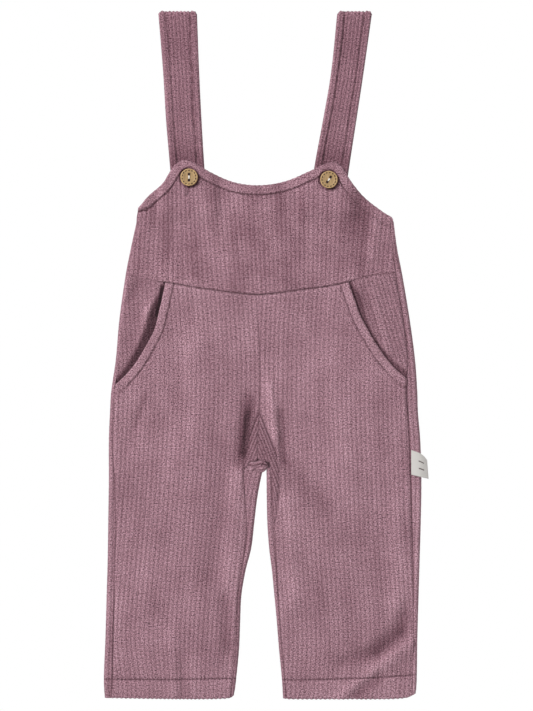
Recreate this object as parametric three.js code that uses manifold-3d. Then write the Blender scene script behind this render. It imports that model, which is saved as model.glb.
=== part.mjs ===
// Toddler dungarees in wale corduroy, laid flat with the front up.
// Millimetres. X runs to the viewer's right, Y from the hems to the straps, Z up from the surface.
import * as THREE from "three";
import Module from "manifold-3d";

const wasm = await Module();
wasm.setup();

// Cloth
const CLOTH = 1.6; // wall of one layer
const GAP = 0.3; // clearance at a seam and between layers
const EDGE_TOP = 4.6; // top of the back cloth where it is rolled round to the front
const WALE_PITCH = 3.9;
const WALE_RISE = 0.7;
const PUFF = 0.9; // how much a front panel stands up between its seams

// Heights that the layers keep
const FRONT_BASE = EDGE_TOP - CLOTH;
const FACING_BASE = CLOTH + GAP;
const POCKET_BASE = FACING_BASE + CLOTH + WALE_RISE + GAP; // inside of the front over the pocket

// Main levels along Y
const HEM = -296;
const HEM_STITCH = -279;
const CROTCH = -97;
const CHEVRON_TOP = -47.7; // where the wales of the two fronts start to meet at a slant
const BACK_WAIST = 69.5;
const CENTRE_TOP = -6; // X of the centre-front seam at the waist
const BACK_SHOULDER = 115; // where the side of the upper back turns in under the armhole
const BACK_TOP = 138;
const LEG_ROWS = steps(HEM, CROTCH, 13);
const HIP_ROWS = steps(CROTCH, BACK_WAIST - GAP / 2, 11);
const CHEST_ROWS = steps(BACK_WAIST + GAP / 2, BACK_SHOULDER, 4);

// Grain: sideways run of a wale for each millimetre down
const LEG_LEAN = { left: -0.075, right: 0.045 };
const CHEVRON_LEAN = 0.5;

// Straps
const STRAP = 2.2; // a sewn flat tube, two thin layers
const STRAP_RUN_GAP = 0.7; // between the back and the front run of the folded strap
const STRAP_TOP = 295.75;
const STRAP_END = 131; // free end under the bib
const STRAP_WALES = 9;
const STRAP_RISE = 0.5;
const STRAP_FRONT_TOP = 2 * STRAP + STRAP_RUN_GAP;
const TAB_LIFT = STRAP_FRONT_TOP + STRAP_RISE + GAP - FRONT_BASE;

// Button: 24 line, two holes
const BUTTON_RADIUS = 7.5;
const BUTTON_THICKNESS = 2.6;
const BUTTON_HOLE_RADIUS = 0.9;
const BUTTON_HOLE_SPACING = 4.8;
const BUTTON_SIDES = 28;
const BUTTONS = [
  { side: "left", x: -66, y: 152.5, turn: 90 },
  { side: "right", x: 54, y: 150.5, turn: 56 },
];

// Folded tape label, from the side seam outwards
const LABEL = 0.9;
const LABEL_SECTIONS = [
  { x: 124.9, upperY: -81.6, lowerY: -102.8, z: 5.7 },
  { x: 129, upperY: -83, lowerY: -104, z: 5.8 },
  { x: 133, upperY: -84.6, lowerY: -105, z: 5.5 },
  { x: 136.6, upperY: -87.2, lowerY: -105.9, z: 4.3 },
  { x: 139.3, upperY: -90.4, lowerY: -106.6, z: 3.0 },
];

// Sides of the garment: outer edge, and the seam where the front meets the rolled back
const SIDES = [
  { y: -296, left: -138.5, leftSeam: -133, rightSeam: 125.5, right: 128.5 },
  { y: -279, left: -139.3, leftSeam: -132, rightSeam: 126, right: 129.5 },
  { y: -245, left: -138, leftSeam: -131.5, rightSeam: 127, right: 130 },
  { y: -210, left: -137, leftSeam: -130.5, rightSeam: 127, right: 131 },
  { y: -176, left: -136, leftSeam: -130, rightSeam: 126.5, right: 132 },
  { y: -142, left: -135.5, leftSeam: -129, rightSeam: 125.5, right: 133 },
  { y: -107, left: -135, leftSeam: -130, rightSeam: 124.5, right: 133.5 },
  { y: -73, left: -135, leftSeam: -132, rightSeam: 123.5, right: 132.5 },
  { y: -49, left: -134, leftSeam: -131, rightSeam: 121.5, right: 130.5 },
  { y: -32, left: -133, leftSeam: -130.5, rightSeam: 120.5, right: 130 },
  { y: -4, left: -129, leftSeam: -126.5, rightSeam: 122, right: 128 },
  { y: 30, left: -126, leftSeam: -123.5, rightSeam: 118, right: 123.5 },
  { y: 69, left: -120.5, leftSeam: -118, rightSeam: 111.5, right: 117 },
  { y: 92, left: -116, leftSeam: -113.5, rightSeam: 109, right: 112.5 },
  { y: 115, left: -111, leftSeam: -108.5, rightSeam: 107, right: 109.5 },
];

// Inner edges of the two legs, and their inseams
const INNER = [
  { y: -296, leftSeam: -30.5, left: -28, right: 15, rightSeam: 17.5 },
  { y: -279, leftSeam: -28.5, left: -26, right: 14, rightSeam: 16.5 },
  { y: -253, leftSeam: -26, left: -23.5, right: 11.5, rightSeam: 14 },
  { y: -228, leftSeam: -25, left: -22.5, right: 9.5, rightSeam: 12 },
  { y: -207, leftSeam: -24, left: -21.5, right: 7.5, rightSeam: 10.5 },
  { y: -186, leftSeam: -21, left: -18, right: 5.5, rightSeam: 9.5 },
  { y: -166, leftSeam: -18, left: -13, right: 3, rightSeam: 8.5 },
  { y: -145, leftSeam: -16.5, left: -10.5, right: 1.5, rightSeam: 7.5 },
  { y: -124, leftSeam: -18, left: -8, right: 1, rightSeam: 6 },
  { y: -106, leftSeam: -19.5, left: -4.7, right: 0.8, rightSeam: 4.6 },
  { y: -96, leftSeam: -18.5, left: -2.2, right: 0.8, rightSeam: 3.3 },
];

// Centre-front seam
const CENTRE = [
  { y: -98, x: -7 },
  { y: -74, x: -7 },
  { y: -49, x: -5.5 },
  { y: -20, x: -4.5 },
  { y: 28, x: -6 },
  { y: 56, x: -6 },
];

// Slanted outer sides of the chevron at the crotch, where the fronts turn in
const CHEVRON = [
  { y: -100, left: -19.6, right: 11 },
  { y: -88, left: -17.8, right: 9 },
  { y: -74, left: -14.5, right: 5 },
  { y: -58, left: -9.6, right: -2 },
  { y: -47, left: -6.2, right: -4.8 },
];

// Edge of the slanted pocket openings
const POCKETS = [
  { y: -29, left: -134, right: 132 },
  { y: -21, left: -124.6, right: 122 },
  { y: -10, left: -114.5, right: 109.5 },
  { y: 0, left: -107.8, right: 101.5 },
  { y: 11, left: -101.5, right: 94 },
  { y: 23, left: -95.5, right: 87 },
  { y: 35, left: -92.5, right: 80.8 },
  { y: 48, left: -89.5, right: 76.2 },
  { y: 66, left: -85.8, right: 69.8 },
];

// Waist seam
const WAIST = [
  { x: -122, y: 69.2 },
  { x: -92, y: 63.5 },
  { x: -60, y: 58 },
  { x: -30, y: 53.8 },
  { x: -6, y: 52 },
  { x: 34, y: 56.5 },
  { x: 62, y: 60.5 },
  { x: 90, y: 68.2 },
  { x: 114, y: 70.6 },
];

// Top edge of the bib, from the left armhole over the two tabs to the right armhole
const BIB_TOP = [
  { x: -109.5, y: 127 },
  { x: -101, y: 137 },
  { x: -88.5, y: 148 },
  { x: -82, y: 158.5 },
  { x: -76, y: 165.3 },
  { x: -69, y: 167.3 },
  { x: -60, y: 164.3 },
  { x: -46.5, y: 156.5 },
  { x: -27, y: 148.5 },
  { x: -6, y: 146 },
  { x: 16, y: 149.3 },
  { x: 38.5, y: 158.5 },
  { x: 52, y: 164.8 },
  { x: 60, y: 165.6 },
  { x: 66, y: 160.5 },
  { x: 74, y: 148 },
  { x: 85, y: 135.3 },
  { x: 100, y: 123.6 },
  { x: 107.5, y: 119 },
];

// Outline of the hidden top of the upper back
const BACK_YOKE = [
  { x: -106.5, y: 113 },
  { x: -106, y: 124 },
  { x: -97, y: 131 },
  { x: -87, y: 138 },
  { x: 73, y: 138 },
  { x: 85, y: 130 },
  { x: 98, y: 120 },
  { x: 104.5, y: 113 },
];

// Edges of the two straps
const STRAPS = [
  { y: 129, leftFrom: -80, leftTo: -50.5, rightFrom: 37.5, rightTo: 67 },
  { y: 161, leftFrom: -82.5, leftTo: -53, rightFrom: 41.5, rightTo: 71.5 },
  { y: 202, leftFrom: -86, leftTo: -55.5, rightFrom: 49, rightTo: 77.8 },
  { y: 243, leftFrom: -88.5, leftTo: -57.5, rightFrom: 56, rightTo: 84 },
  { y: 296, leftFrom: -92.8, leftTo: -59.5, rightFrom: 61.5, rightTo: 91.5 },
];

// Folds of the front: a soft ridge (rise over 0) or trough along a line
const FOLDS = [
  { x0: -81, y0: -240, x1: -79, y1: -290, width: 5, rise: 0.8 },
  { x0: -72, y0: -255, x1: -72, y1: -294, width: 4, rise: -0.8 },
  { x0: 111, y0: -240, x1: 74, y1: -294, width: 9, rise: 1.3 },
  { x0: 121, y0: -255, x1: 93, y1: -294, width: 6, rise: -0.9 },
  { x0: -24, y0: -100, x1: -33, y1: -205, width: 7, rise: 1.0 },
  { x0: -39, y0: -95, x1: -46, y1: -190, width: 8, rise: -0.6 },
  { x0: 20, y0: -125, x1: 23, y1: -215, width: 6, rise: 1.0 },
  { x0: 113, y0: -130, x1: 114, y1: -235, width: 8, rise: 0.9 },
  { x0: -15, y0: -52, x1: -21, y1: -90, width: 5, rise: -1.0 },
  { x0: 5, y0: -66, x1: 12, y1: -118, width: 4, rise: 1.3 },
  { x0: -90, y0: 120, x1: -97, y1: 80, width: 9, rise: -0.6 },
  { x0: 84, y0: 118, x1: 74, y1: 78, width: 9, rise: -0.6 },
  { x0: -134, y0: HEM_STITCH, x1: -28, y1: HEM_STITCH, width: 3, rise: -0.6 },
  { x0: 16, y0: HEM_STITCH, x1: 127, y1: HEM_STITCH + 4, width: 3, rise: -0.6 },
];

// Small roll of cloth where the four legs' seams meet
const ROLL = { x0: -13, y0: -96, x1: 0.2, y1: -93.6, z: 3.1, radius: 2.7, sides: 10 };
const ROLL_SECTIONS = [
  { at: 0, size: 0.5 },
  { at: 0.12, size: 0.85 },
  { at: 0.35, size: 1 },
  { at: 0.7, size: 0.95 },
  { at: 0.9, size: 0.8 },
  { at: 1, size: 0.45 },
];

const clamp = (value, low, high) => Math.min(Math.max(value, low), high);

// Goes from 0 to 1 between the two values, softly at both ends.
function ramp(value, start, end) {
  const t = clamp((value - start) / (end - start), 0, 1);
  return t * t * (3 - 2 * t);
}

// A smooth function through one column of a table, read by another column that rises row by row.
function lookup(rows, from, to) {
  const last = rows.length - 1;
  const slopes = rows.map((row, i) => {
    const a = rows[Math.max(i - 1, 0)];
    const b = rows[Math.min(i + 1, last)];
    return (b[to] - a[to]) / (b[from] - a[from]);
  });
  return (at) => {
    let i = 0;
    while (i < last - 1 && at > rows[i + 1][from]) i += 1;
    const span = rows[i + 1][from] - rows[i][from];
    const t = clamp((at - rows[i][from]) / span, 0, 1);
    const start = rows[i][to];
    const end = rows[i + 1][to];
    const bend = t * (1 - t) * span;
    const line = start + (end - start) * t;
    const chord = (end - start) / span;
    return line + bend * ((slopes[i] - chord) * (1 - t) - (slopes[i + 1] - chord) * t);
  };
}

// Evenly spaced values from one to the other, both included.
function steps(from, to, count) {
  return Array.from({ length: count + 1 }, (_, i) => from + ((to - from) * i) / count);
}

function distanceToSegment(x, y, line) {
  const dx = line.x1 - line.x0;
  const dy = line.y1 - line.y0;
  const t = ((x - line.x0) * dx + (y - line.y0) * dy) / (dx * dx + dy * dy);
  const near = clamp(t, 0, 1);
  return Math.hypot(x - line.x0 - near * dx, y - line.y0 - near * dy);
}

// A closed solid from shared points and triangles, turned outwards.
function solid(points, triangles) {
  const volume = triangles.reduce((sum, [a, b, c]) => {
    const p = points[a];
    const q = points[b];
    const r = points[c];
    const cross = [
      q[1] * r[2] - q[2] * r[1],
      q[2] * r[0] - q[0] * r[2],
      q[0] * r[1] - q[1] * r[0],
    ];
    return sum + p[0] * cross[0] + p[1] * cross[1] + p[2] * cross[2];
  }, 0);
  const outward = volume < 0 ? triangles.map(([a, b, c]) => [a, c, b]) : triangles;
  const mesh = new wasm.Mesh({
    numProp: 3,
    vertProperties: new Float32Array(points.flat()),
    triVerts: new Uint32Array(outward.flat()),
  });
  return new wasm.Manifold(mesh);
}

// Joins loops of equally many points and closes both ends, which lie flat in the two given axes.
function loft(loops, axes) {
  const size = loops[0].length;
  const points = loops.flat();
  const triangles = [];
  for (let row = 0; row < loops.length - 1; row += 1) {
    for (let i = 0; i < size; i += 1) {
      const a = row * size + i;
      const b = row * size + ((i + 1) % size);
      triangles.push([a, b, a + size], [b, b + size, a + size]);
    }
  }
  const start = (loops.length - 1) * size;
  endFaces(loops[0], axes).forEach(([a, b, c]) => triangles.push([a, c, b]));
  endFaces(loops.at(-1), axes).forEach((face) => triangles.push(face.map((i) => i + start)));
  return solid(points, triangles);
}

// Triangles over a flat loop, wound as the loop is. Points in line with their neighbours are kept.
function endFaces(loop, [u, v]) {
  const area = (a, b, c) => {
    const [p, q, r] = [loop[a], loop[b], loop[c]];
    return (q[u] - p[u]) * (r[v] - p[v]) - (q[v] - p[v]) * (r[u] - p[u]);
  };
  const left = loop.map((_, i) => i);
  const turn = Math.sign(left.reduce((sum, i) => sum + area(0, i, (i + 1) % loop.length), 0));
  const faces = [];
  while (left.length > 3) {
    const corner = (i) => [left.at(i - 1), left[i], left[(i + 1) % left.length]];
    const covers = ([a, b, c], i) => {
      if (i === a || i === b || i === c) return false;
      return [area(a, b, i), area(b, c, i), area(c, a, i)].every((part) => part * turn >= 0);
    };
    let ear = left.findIndex((_, i) => {
      const face = corner(i);
      return area(...face) * turn > 1e-7 && !left.some((other) => covers(face, other));
    });
    if (ear < 0) ear = left.findIndex((_, i) => Math.abs(area(...corner(i))) <= 1e-7);
    if (ear < 0) throw new Error("an end face crosses itself");
    faces.push(corner(ear));
    left.splice(ear, 1);
  }
  faces.push([...left]);
  return faces;
}

// An upright block on an outline.
function prism(outline, low, high) {
  return loft([outline.map(([x, y]) => [x, y, low]), outline.map(([x, y]) => [x, y, high])], [0, 1]);
}

// A sheet of cloth over a rectangle: wales on the outside, plain inside. Each wale is a ridge and a valley.
// One strip of the plain inside lies under the given number of wales.
function waleSheet({ xFrom, xTo, rows, lean, strip, base }) {
  const middle = (rows[0] + rows.at(-1)) / 2;
  const wales = strip * Math.ceil((xTo - xFrom) / WALE_PITCH / strip);
  const outside = steps(xFrom, xFrom + wales * WALE_PITCH, 2 * wales);
  const inside = steps(xFrom, xFrom + wales * WALE_PITCH, wales / strip);
  const points = [];
  const place = (u, y, rise) => {
    const x = u + lean * (middle - y);
    points.push([x, y, base(x, y) + rise]);
  };
  rows.forEach((y) => outside.forEach((u, i) => place(u, y, CLOTH + (i % 2) * WALE_RISE)));
  rows.forEach((y) => inside.forEach((u) => place(u, y, 0)));
  const top = (row, i) => row * outside.length + i;
  const under = (row, i) => rows.length * outside.length + row * inside.length + i;
  const triangles = [];
  const quad = (a, b, c, d) => triangles.push([a, b, c], [a, c, d]);
  for (let row = 0; row < rows.length - 1; row += 1) {
    for (let i = 0; i < outside.length - 1; i += 1) {
      quad(top(row, i), top(row, i + 1), top(row + 1, i + 1), top(row + 1, i));
    }
    for (let i = 0; i < inside.length - 1; i += 1) {
      quad(under(row, i), under(row + 1, i), under(row + 1, i + 1), under(row, i + 1));
    }
    quad(top(row, 0), top(row + 1, 0), under(row + 1, 0), under(row, 0));
    const o = outside.length - 1;
    const n = inside.length - 1;
    quad(top(row, o), under(row, n), under(row + 1, n), top(row + 1, o));
  }
  const stride = 2 * strip;
  [0, rows.length - 1].forEach((row) => {
    const close = (a, b, c) => triangles.push(row === 0 ? [a, b, c] : [a, c, b]);
    for (let n = 0; n < inside.length - 1; n += 1) {
      const half = n * stride + stride / 2;
      for (let i = n * stride; i < (n + 1) * stride; i += 1) {
        close(under(row, i < half ? n : n + 1), top(row, i + 1), top(row, i));
      }
      close(under(row, n), under(row, n + 1), top(row, half));
    }
  });
  return solid(points, triangles);
}

const side = {
  left: {
    sign: -1,
    outerSeam: lookup(SIDES, "y", "leftSeam"),
    outer: lookup(SIDES, "y", "left"),
    innerSeam: lookup(INNER, "y", "leftSeam"),
    inner: lookup(INNER, "y", "left"),
    chevron: lookup(CHEVRON, "y", "left"),
    pocket: lookup(POCKETS, "y", "left"),
    strapFrom: lookup(STRAPS, "y", "leftFrom"),
    strapTo: lookup(STRAPS, "y", "leftTo"),
  },
  right: {
    sign: 1,
    outerSeam: lookup(SIDES, "y", "rightSeam"),
    outer: lookup(SIDES, "y", "right"),
    innerSeam: lookup(INNER, "y", "rightSeam"),
    inner: lookup(INNER, "y", "right"),
    chevron: lookup(CHEVRON, "y", "right"),
    pocket: lookup(POCKETS, "y", "right"),
    strapFrom: lookup(STRAPS, "y", "rightFrom"),
    strapTo: lookup(STRAPS, "y", "rightTo"),
  },
};
const centre = lookup(CENTRE, "y", "x");
const waist = lookup(WAIST, "x", "y");
const bibTop = lookup(BIB_TOP, "x", "y");

function foldHeight(x, y) {
  return FOLDS.reduce((sum, fold) => {
    const away = distanceToSegment(x, y, fold) / fold.width;
    return sum + fold.rise * Math.exp(-away * away);
  }, 0);
}

// How far a place lies inside the pocket's edge, under the front panel. Below 0 it shows in the opening.
function insidePocket({ sign, pocket }, x, y) {
  const rows = steps(-29, 66, 19);
  const near = Math.min(...rows.map((row) => Math.hypot(x - pocket(row), y - row)));
  const under = sign * (pocket(clamp(y, -29, 66)) - x) > 0 || y < -29;
  return under ? near : -near;
}

// Inside of a front trouser panel.
function legBase(part, x, y) {
  const outer = part.outerSeam(clamp(y, HEM, BACK_SHOULDER));
  const inner = y > CROTCH ? centre(clamp(y, -98, 56)) : part.innerSeam(y);
  const across = clamp((x - outer) / (inner - outer), 0, 1);
  const puff = PUFF * 4 * across * (1 - across);
  const pocket = 1 - ramp(insidePocket(part, x, y), 20, 38);
  const lying = FRONT_BASE + puff + foldHeight(x, y);
  return Math.max(lying, FACING_BASE) * (1 - pocket) + Math.max(lying, POCKET_BASE) * pocket;
}

// Inside of the hip piece: low under the front panel, and up to the side seam in the opening.
function facingBase(part, x, y) {
  const shown = ramp(-insidePocket(part, x, y), 3, 14);
  return FACING_BASE + (FRONT_BASE + 0.5 - FACING_BASE) * shown;
}

// Inside of the bib, lifted over the ends of the straps.
function bibBase(x, y) {
  const puff = PUFF * (1 - (x / 115) ** 2);
  const over = Object.values(side).map((part) => {
    const at = clamp(y, 129, 296);
    const beside = Math.max(part.strapFrom(at) - x, x - part.strapTo(at));
    return (1 - ramp(beside, 4, 16)) * ramp(y, STRAP_END - 20, STRAP_END - 6);
  });
  return FRONT_BASE + Math.max(puff + foldHeight(x, y), TAB_LIFT * Math.max(...over));
}

// Points along an edge that is read by Y, moved sideways by the clearance.
function edge(read, rows, shift) {
  return rows.map((y) => [read(y) + shift, y]);
}

// The shared rows between two levels, with both levels, so that two pieces meet along the same points.
function between(rows, from, to) {
  const low = Math.min(from, to);
  const high = Math.max(from, to);
  const inner = rows.filter((y) => y > low + 1 && y < high - 1);
  const rising = [low, ...inner, high];
  return from < to ? rising : rising.toReversed();
}

// Level at which the pocket's edge runs into the side seam.
function lowEndOfPocket({ sign, pocket, outerSeam }) {
  return steps(-29, -10, 190).find((y) => sign * (outerSeam(y) - pocket(y)) > GAP);
}

function waistEdge(from, to, count, shift) {
  return steps(from, to, count).map((x) => [x, waist(x) + shift]);
}

function frontLeg(name) {
  const part = side[name];
  const { sign } = part;
  const pocketEnd = lowEndOfPocket(part);
  const outline = [
    ...edge(part.pocket, steps(pocketEnd, 61, 12), 0),
    ...waistEdge(part.pocket(62), CENTRE_TOP + sign * GAP, 6, -GAP / 2),
    ...edge(centre, steps(50, CHEVRON_TOP, 5), (sign * GAP) / 2),
    ...edge(part.chevron, steps(CHEVRON_TOP - 2, CROTCH, 5), 0),
    ...edge(part.innerSeam, between(LEG_ROWS, CROTCH - 1, HEM), sign * GAP),
    ...edge(part.outerSeam, between([...LEG_ROWS, ...HIP_ROWS], HEM, pocketEnd - 2), -sign * GAP),
  ];
  const xs = outline.map(([x]) => x);
  const main = waleSheet({
    xFrom: Math.min(...xs) - 16,
    xTo: Math.max(...xs) + 16,
    rows: [HEM - 1, HEM_STITCH - 6, HEM_STITCH, HEM_STITCH + 6, ...steps(-250, 70, 13)],
    lean: LEG_LEAN[name],
    strip: 4,
    base: (x, y) => legBase(part, x, y),
  }).intersect(prism(outline, 0, 30));
  const turned = [
    ...edge(centre, steps(CHEVRON_TOP, CROTCH + 3, 4), (sign * GAP) / 2),
    ...edge(part.innerSeam, [CROTCH + 0.4, CROTCH - 1.5], sign * GAP),
    ...edge(part.chevron, steps(CROTCH - 1.5, CHEVRON_TOP, 5), sign * 0.6),
  ];
  const point = waleSheet({
    xFrom: -48,
    xTo: 40,
    rows: steps(-110, -40, 5),
    lean: sign * CHEVRON_LEAN,
    strip: 2,
    base: (x, y) => legBase(part, x, y) + 0.4,
  }).intersect(prism(turned, 0, 30));
  return main.add(point).subtract(crotchRoll(GAP));
}

function pocketFacing(name) {
  const part = side[name];
  const { sign } = part;
  const depth = 12;
  const shift = -2 * sign * GAP;
  const outline = [
    ...edge(part.outerSeam, between(HIP_ROWS, -24, 66), shift),
    ...waistEdge(part.outerSeam(66) + shift, part.pocket(62) - sign * depth, 4, -GAP / 2),
    ...edge(part.pocket, steps(50, -10, 6), -sign * depth),
    [part.pocket(-20) - sign * depth, -29],
    [part.outerSeam(-30) - sign * 8, -33],
  ];
  const xs = outline.map(([x]) => x);
  return waleSheet({
    xFrom: Math.min(...xs) - 6,
    xTo: Math.max(...xs) + 6,
    rows: steps(-40, 74, 8),
    lean: 1.6 * LEG_LEAN[name],
    strip: 2,
    base: (x, y) => facingBase(part, x, y),
  }).intersect(prism(outline, 0, 30));
}

function frontBib() {
  const { left, right } = side;
  const outline = [
    ...waistEdge(-118 + 2 * GAP, 111.4 - 2 * GAP, 16, GAP / 2),
    ...edge(right.outerSeam, CHEST_ROWS.slice(1), -GAP),
    ...steps(107, -108, 54).map((x) => [x, bibTop(x)]),
    ...edge(left.outerSeam, CHEST_ROWS.slice(1).toReversed(), GAP),
  ];
  return waleSheet({
    xFrom: -122.4,
    xTo: 114,
    rows: [...steps(48, 108, 3), ...steps(117, 170, 7)],
    lean: 0,
    strip: 2,
    base: bibBase,
  }).intersect(prism(outline, 0, 30));
}

// Section of cloth rolled round one edge. Direction is 1 where the roll turns towards +X.
function rolledEdge(edgeX, seamX, direction, wales) {
  const radius = EDGE_TOP / 2;
  const start = edgeX + direction * radius;
  const lip = Math.max(direction * (seamX - start), 0.05);
  const quarter = (Math.PI * radius) / 2;
  const shown = steps(0, lip + quarter, 2 * wales).map((along, i) => {
    const rise = (i % 2) * WALE_RISE;
    if (along < lip) return [start + direction * (lip - along), EDGE_TOP + rise];
    const angle = (along - lip) / radius;
    const reach = radius + rise;
    return [start - direction * reach * Math.sin(angle), radius + reach * Math.cos(angle)];
  });
  const turn = (size, angle) => [start - direction * size * Math.sin(angle), radius + size * Math.cos(angle)];
  const hidden = [0.67, 0.84, 1].map((part) => turn(radius, part * Math.PI));
  const within = [0, 0.5, 1].map((part) => turn(radius - CLOTH, part * Math.PI));
  return {
    outside: [...shown, ...hidden],
    inside: [[start + direction * lip, EDGE_TOP - CLOTH], ...within],
  };
}

function flatEdge(x) {
  return { outside: [[x, 0]], inside: [[x, CLOTH]] };
}

// Back cloth lying on the surface, with its edges given row by row.
function backShell(rows, leftEdge, rightEdge) {
  const loops = rows.map((y) => {
    const left = leftEdge(y);
    const right = rightEdge(y);
    const section = [
      ...left.outside,
      ...right.outside.toReversed(),
      ...right.inside,
      ...left.inside.toReversed(),
    ];
    return section.map(([x, z]) => [x, y, z]);
  });
  return loft(loops, [0, 2]);
}

function backLeg(name) {
  const part = side[name];
  const left = part.sign < 0;
  const outer = (y) => rolledEdge(part.outer(y), part.outerSeam(y), -part.sign, left ? 2 : 3);
  const inner = (y) => rolledEdge(part.inner(y), part.innerSeam(y), part.sign, 2);
  const flat = (y) => {
    const seam = centre(clamp(y, -98, 56)) + (part.sign * GAP) / 2;
    return flatEdge(y > CROTCH + 1 || left ? seam : part.inner(CROTCH) + 1);
  };
  const upperRows = [CROTCH - 1, ...HIP_ROWS];
  const lower = left ? backShell(LEG_ROWS, outer, inner) : backShell(LEG_ROWS, inner, outer);
  const upper = left ? backShell(upperRows, outer, flat) : backShell(upperRows, flat, outer);
  const whole = lower.add(upper);
  return left ? whole.add(crotchRoll(0)) : whole.subtract(crotchRoll(GAP));
}

function backBib() {
  const { left, right } = side;
  const sides = backShell(
    CHEST_ROWS,
    (y) => rolledEdge(left.outer(y), left.outerSeam(y), 1, 2),
    (y) => rolledEdge(right.outer(y), right.outerSeam(y), -1, 2),
  );
  const yoke = prism(BACK_YOKE.map(({ x, y }) => [x, y]), 0, CLOTH);
  return sides.add(yoke);
}

// The small roll at the crotch, or the same with a clearance round it.
function crotchRoll(clearance) {
  const { x0, y0, x1, y1, z, radius, sides } = ROLL;
  const loops = ROLL_SECTIONS.map(({ at, size }, i) => {
    const end = i === 0 ? -clearance : i === ROLL_SECTIONS.length - 1 ? clearance : 0;
    const x = x0 + (x1 - x0) * at + end;
    const y = y0 + (y1 - y0) * at;
    const reach = radius * size + clearance;
    return steps(0, 2 * Math.PI, sides)
      .slice(1)
      .map((angle) => [x, y + reach * Math.cos(angle), z + 0.8 * reach * Math.sin(angle)]);
  });
  return loft(loops, [1, 2]);
}

// A strap sewn as a flat tube and folded over at the top, so a back run lies under a front run.
function strap(name) {
  const { strapFrom, strapTo } = side[name];
  const bend = STRAP_FRONT_TOP / 2;
  const turn = STRAP_TOP - bend;
  const spine = bend - STRAP / 2;
  const run = (y, z, out) => ({ y, z, outY: 0, outZ: out, rise: out > 0 ? 1 : 0 });
  const fold = steps(0, Math.PI, 6).map((angle) => ({
    y: turn + spine * Math.sin(angle),
    z: bend - spine * Math.cos(angle),
    outY: Math.sin(angle),
    outZ: -Math.cos(angle),
    rise: angle / Math.PI,
  }));
  const stations = [
    ...steps(BACK_TOP + GAP, turn - 8, 4).map((y) => run(y, STRAP / 2, -1)),
    ...fold,
    ...steps(turn - 8, STRAP_END, 8).map((y) => run(y, STRAP_FRONT_TOP - STRAP / 2, 1)),
  ];
  const loops = stations.map(({ y, z, outY, outZ, rise }) => {
    const at = clamp(y, 129, 296);
    const from = strapFrom(at);
    const to = strapTo(at);
    const outer = steps(from, to, 2 * STRAP_WALES).map((x, i) => {
      const reach = STRAP / 2 + (i % 2) * STRAP_RISE * rise;
      return [x, y + outY * reach, z + outZ * reach];
    });
    const inner = [to, from].map((x) => [x, y - (outY * STRAP) / 2, z - (outZ * STRAP) / 2]);
    return [...outer, ...inner];
  });
  return loft(loops, [0, 2]);
}

function circle(x, y, z, radius, sides) {
  return steps(0, 2 * Math.PI, sides)
    .slice(1)
    .map((angle) => [x + radius * Math.cos(angle), y + radius * Math.sin(angle), z]);
}

// A turned button with a raised rim, a dished face and two thread holes.
function button({ x, y, turn }) {
  const z = FRONT_BASE + TAB_LIFT + CLOTH + WALE_RISE + GAP;
  const profile = [
    { inset: 1.0, up: 0 },
    { inset: 0.2, up: 0.6 },
    { inset: 0, up: 1.3 },
    { inset: 0.3, up: BUTTON_THICKNESS - 0.4 },
    { inset: 1.0, up: BUTTON_THICKNESS },
    { inset: 1.6, up: BUTTON_THICKNESS },
    { inset: 2.3, up: BUTTON_THICKNESS - 0.5 },
  ];
  const body = loft(
    profile.map(({ inset, up }) => circle(x, y, z + up, BUTTON_RADIUS - inset, BUTTON_SIDES)),
    [0, 1],
  );
  const angle = THREE.MathUtils.degToRad(turn);
  const holes = [-0.5, 0.5].map((half) => {
    const holeX = x + half * BUTTON_HOLE_SPACING * Math.cos(angle);
    const holeY = y + half * BUTTON_HOLE_SPACING * Math.sin(angle);
    return loft(
      [z - 1, z + 4].map((level) => circle(holeX, holeY, level, BUTTON_HOLE_RADIUS, 12)),
      [0, 1],
    );
  });
  return body.subtract(holes[0]).subtract(holes[1]);
}

function label() {
  const loops = LABEL_SECTIONS.map(({ x, upperY, lowerY, z }) => [
    [x, upperY, z],
    [x, lowerY, z],
    [x, lowerY, z + LABEL],
    [x, upperY, z + LABEL],
  ]);
  return loft(loops, [1, 2]);
}

// A named mesh with its own material.
function node(name, body, color, roughness) {
  const { vertProperties, triVerts, numProp } = body.getMesh();
  const positions = [];
  for (let i = 0; i < vertProperties.length; i += numProp) {
    positions.push(vertProperties[i], vertProperties[i + 1], vertProperties[i + 2]);
  }
  const geometry = new THREE.BufferGeometry();
  geometry.setAttribute("position", new THREE.Float32BufferAttribute(positions, 3));
  geometry.setIndex([...triVerts]);
  const flat = geometry.toNonIndexed();
  flat.computeVertexNormals();
  const mesh = new THREE.Mesh(flat, new THREE.MeshStandardMaterial({ color, roughness }));
  mesh.name = name;
  return mesh;
}

const CORDUROY = 0x9a7480;
const WOOD = 0xb8935f;
const TAPE = 0xd8d4d0;

const garment = new THREE.Group();
garment.name = "toddler_dungarees";
garment.add(node("front_bib", frontBib(), CORDUROY, 0.95));
garment.add(node("back_bib", backBib(), CORDUROY, 0.95));
Object.keys(side).forEach((name) => {
  garment.add(node(`front_leg_${name}`, frontLeg(name), CORDUROY, 0.95));
  garment.add(node(`back_leg_${name}`, backLeg(name), CORDUROY, 0.95));
  garment.add(node(`pocket_facing_${name}`, pocketFacing(name), CORDUROY, 0.95));
  garment.add(node(`strap_${name}`, strap(name), CORDUROY, 0.95));
});
BUTTONS.forEach((place) => {
  garment.add(node(`button_${place.side}`, button(place), WOOD, 0.5));
});
garment.add(node("side_label", label(), TAPE, 0.8));

export default garment;
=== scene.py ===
"""Toddler dungarees in wale corduroy, laid flat with the front up.

The cloth, sewing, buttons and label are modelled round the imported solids.
Sizes in the tables are millimetres in the part's own frame, and the meshes are metres.
"""

import math

import bmesh
import bpy
import numpy as np
from bpy.props import FloatProperty, FloatVectorProperty, PointerProperty
from mathutils import Matrix, Vector


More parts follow.
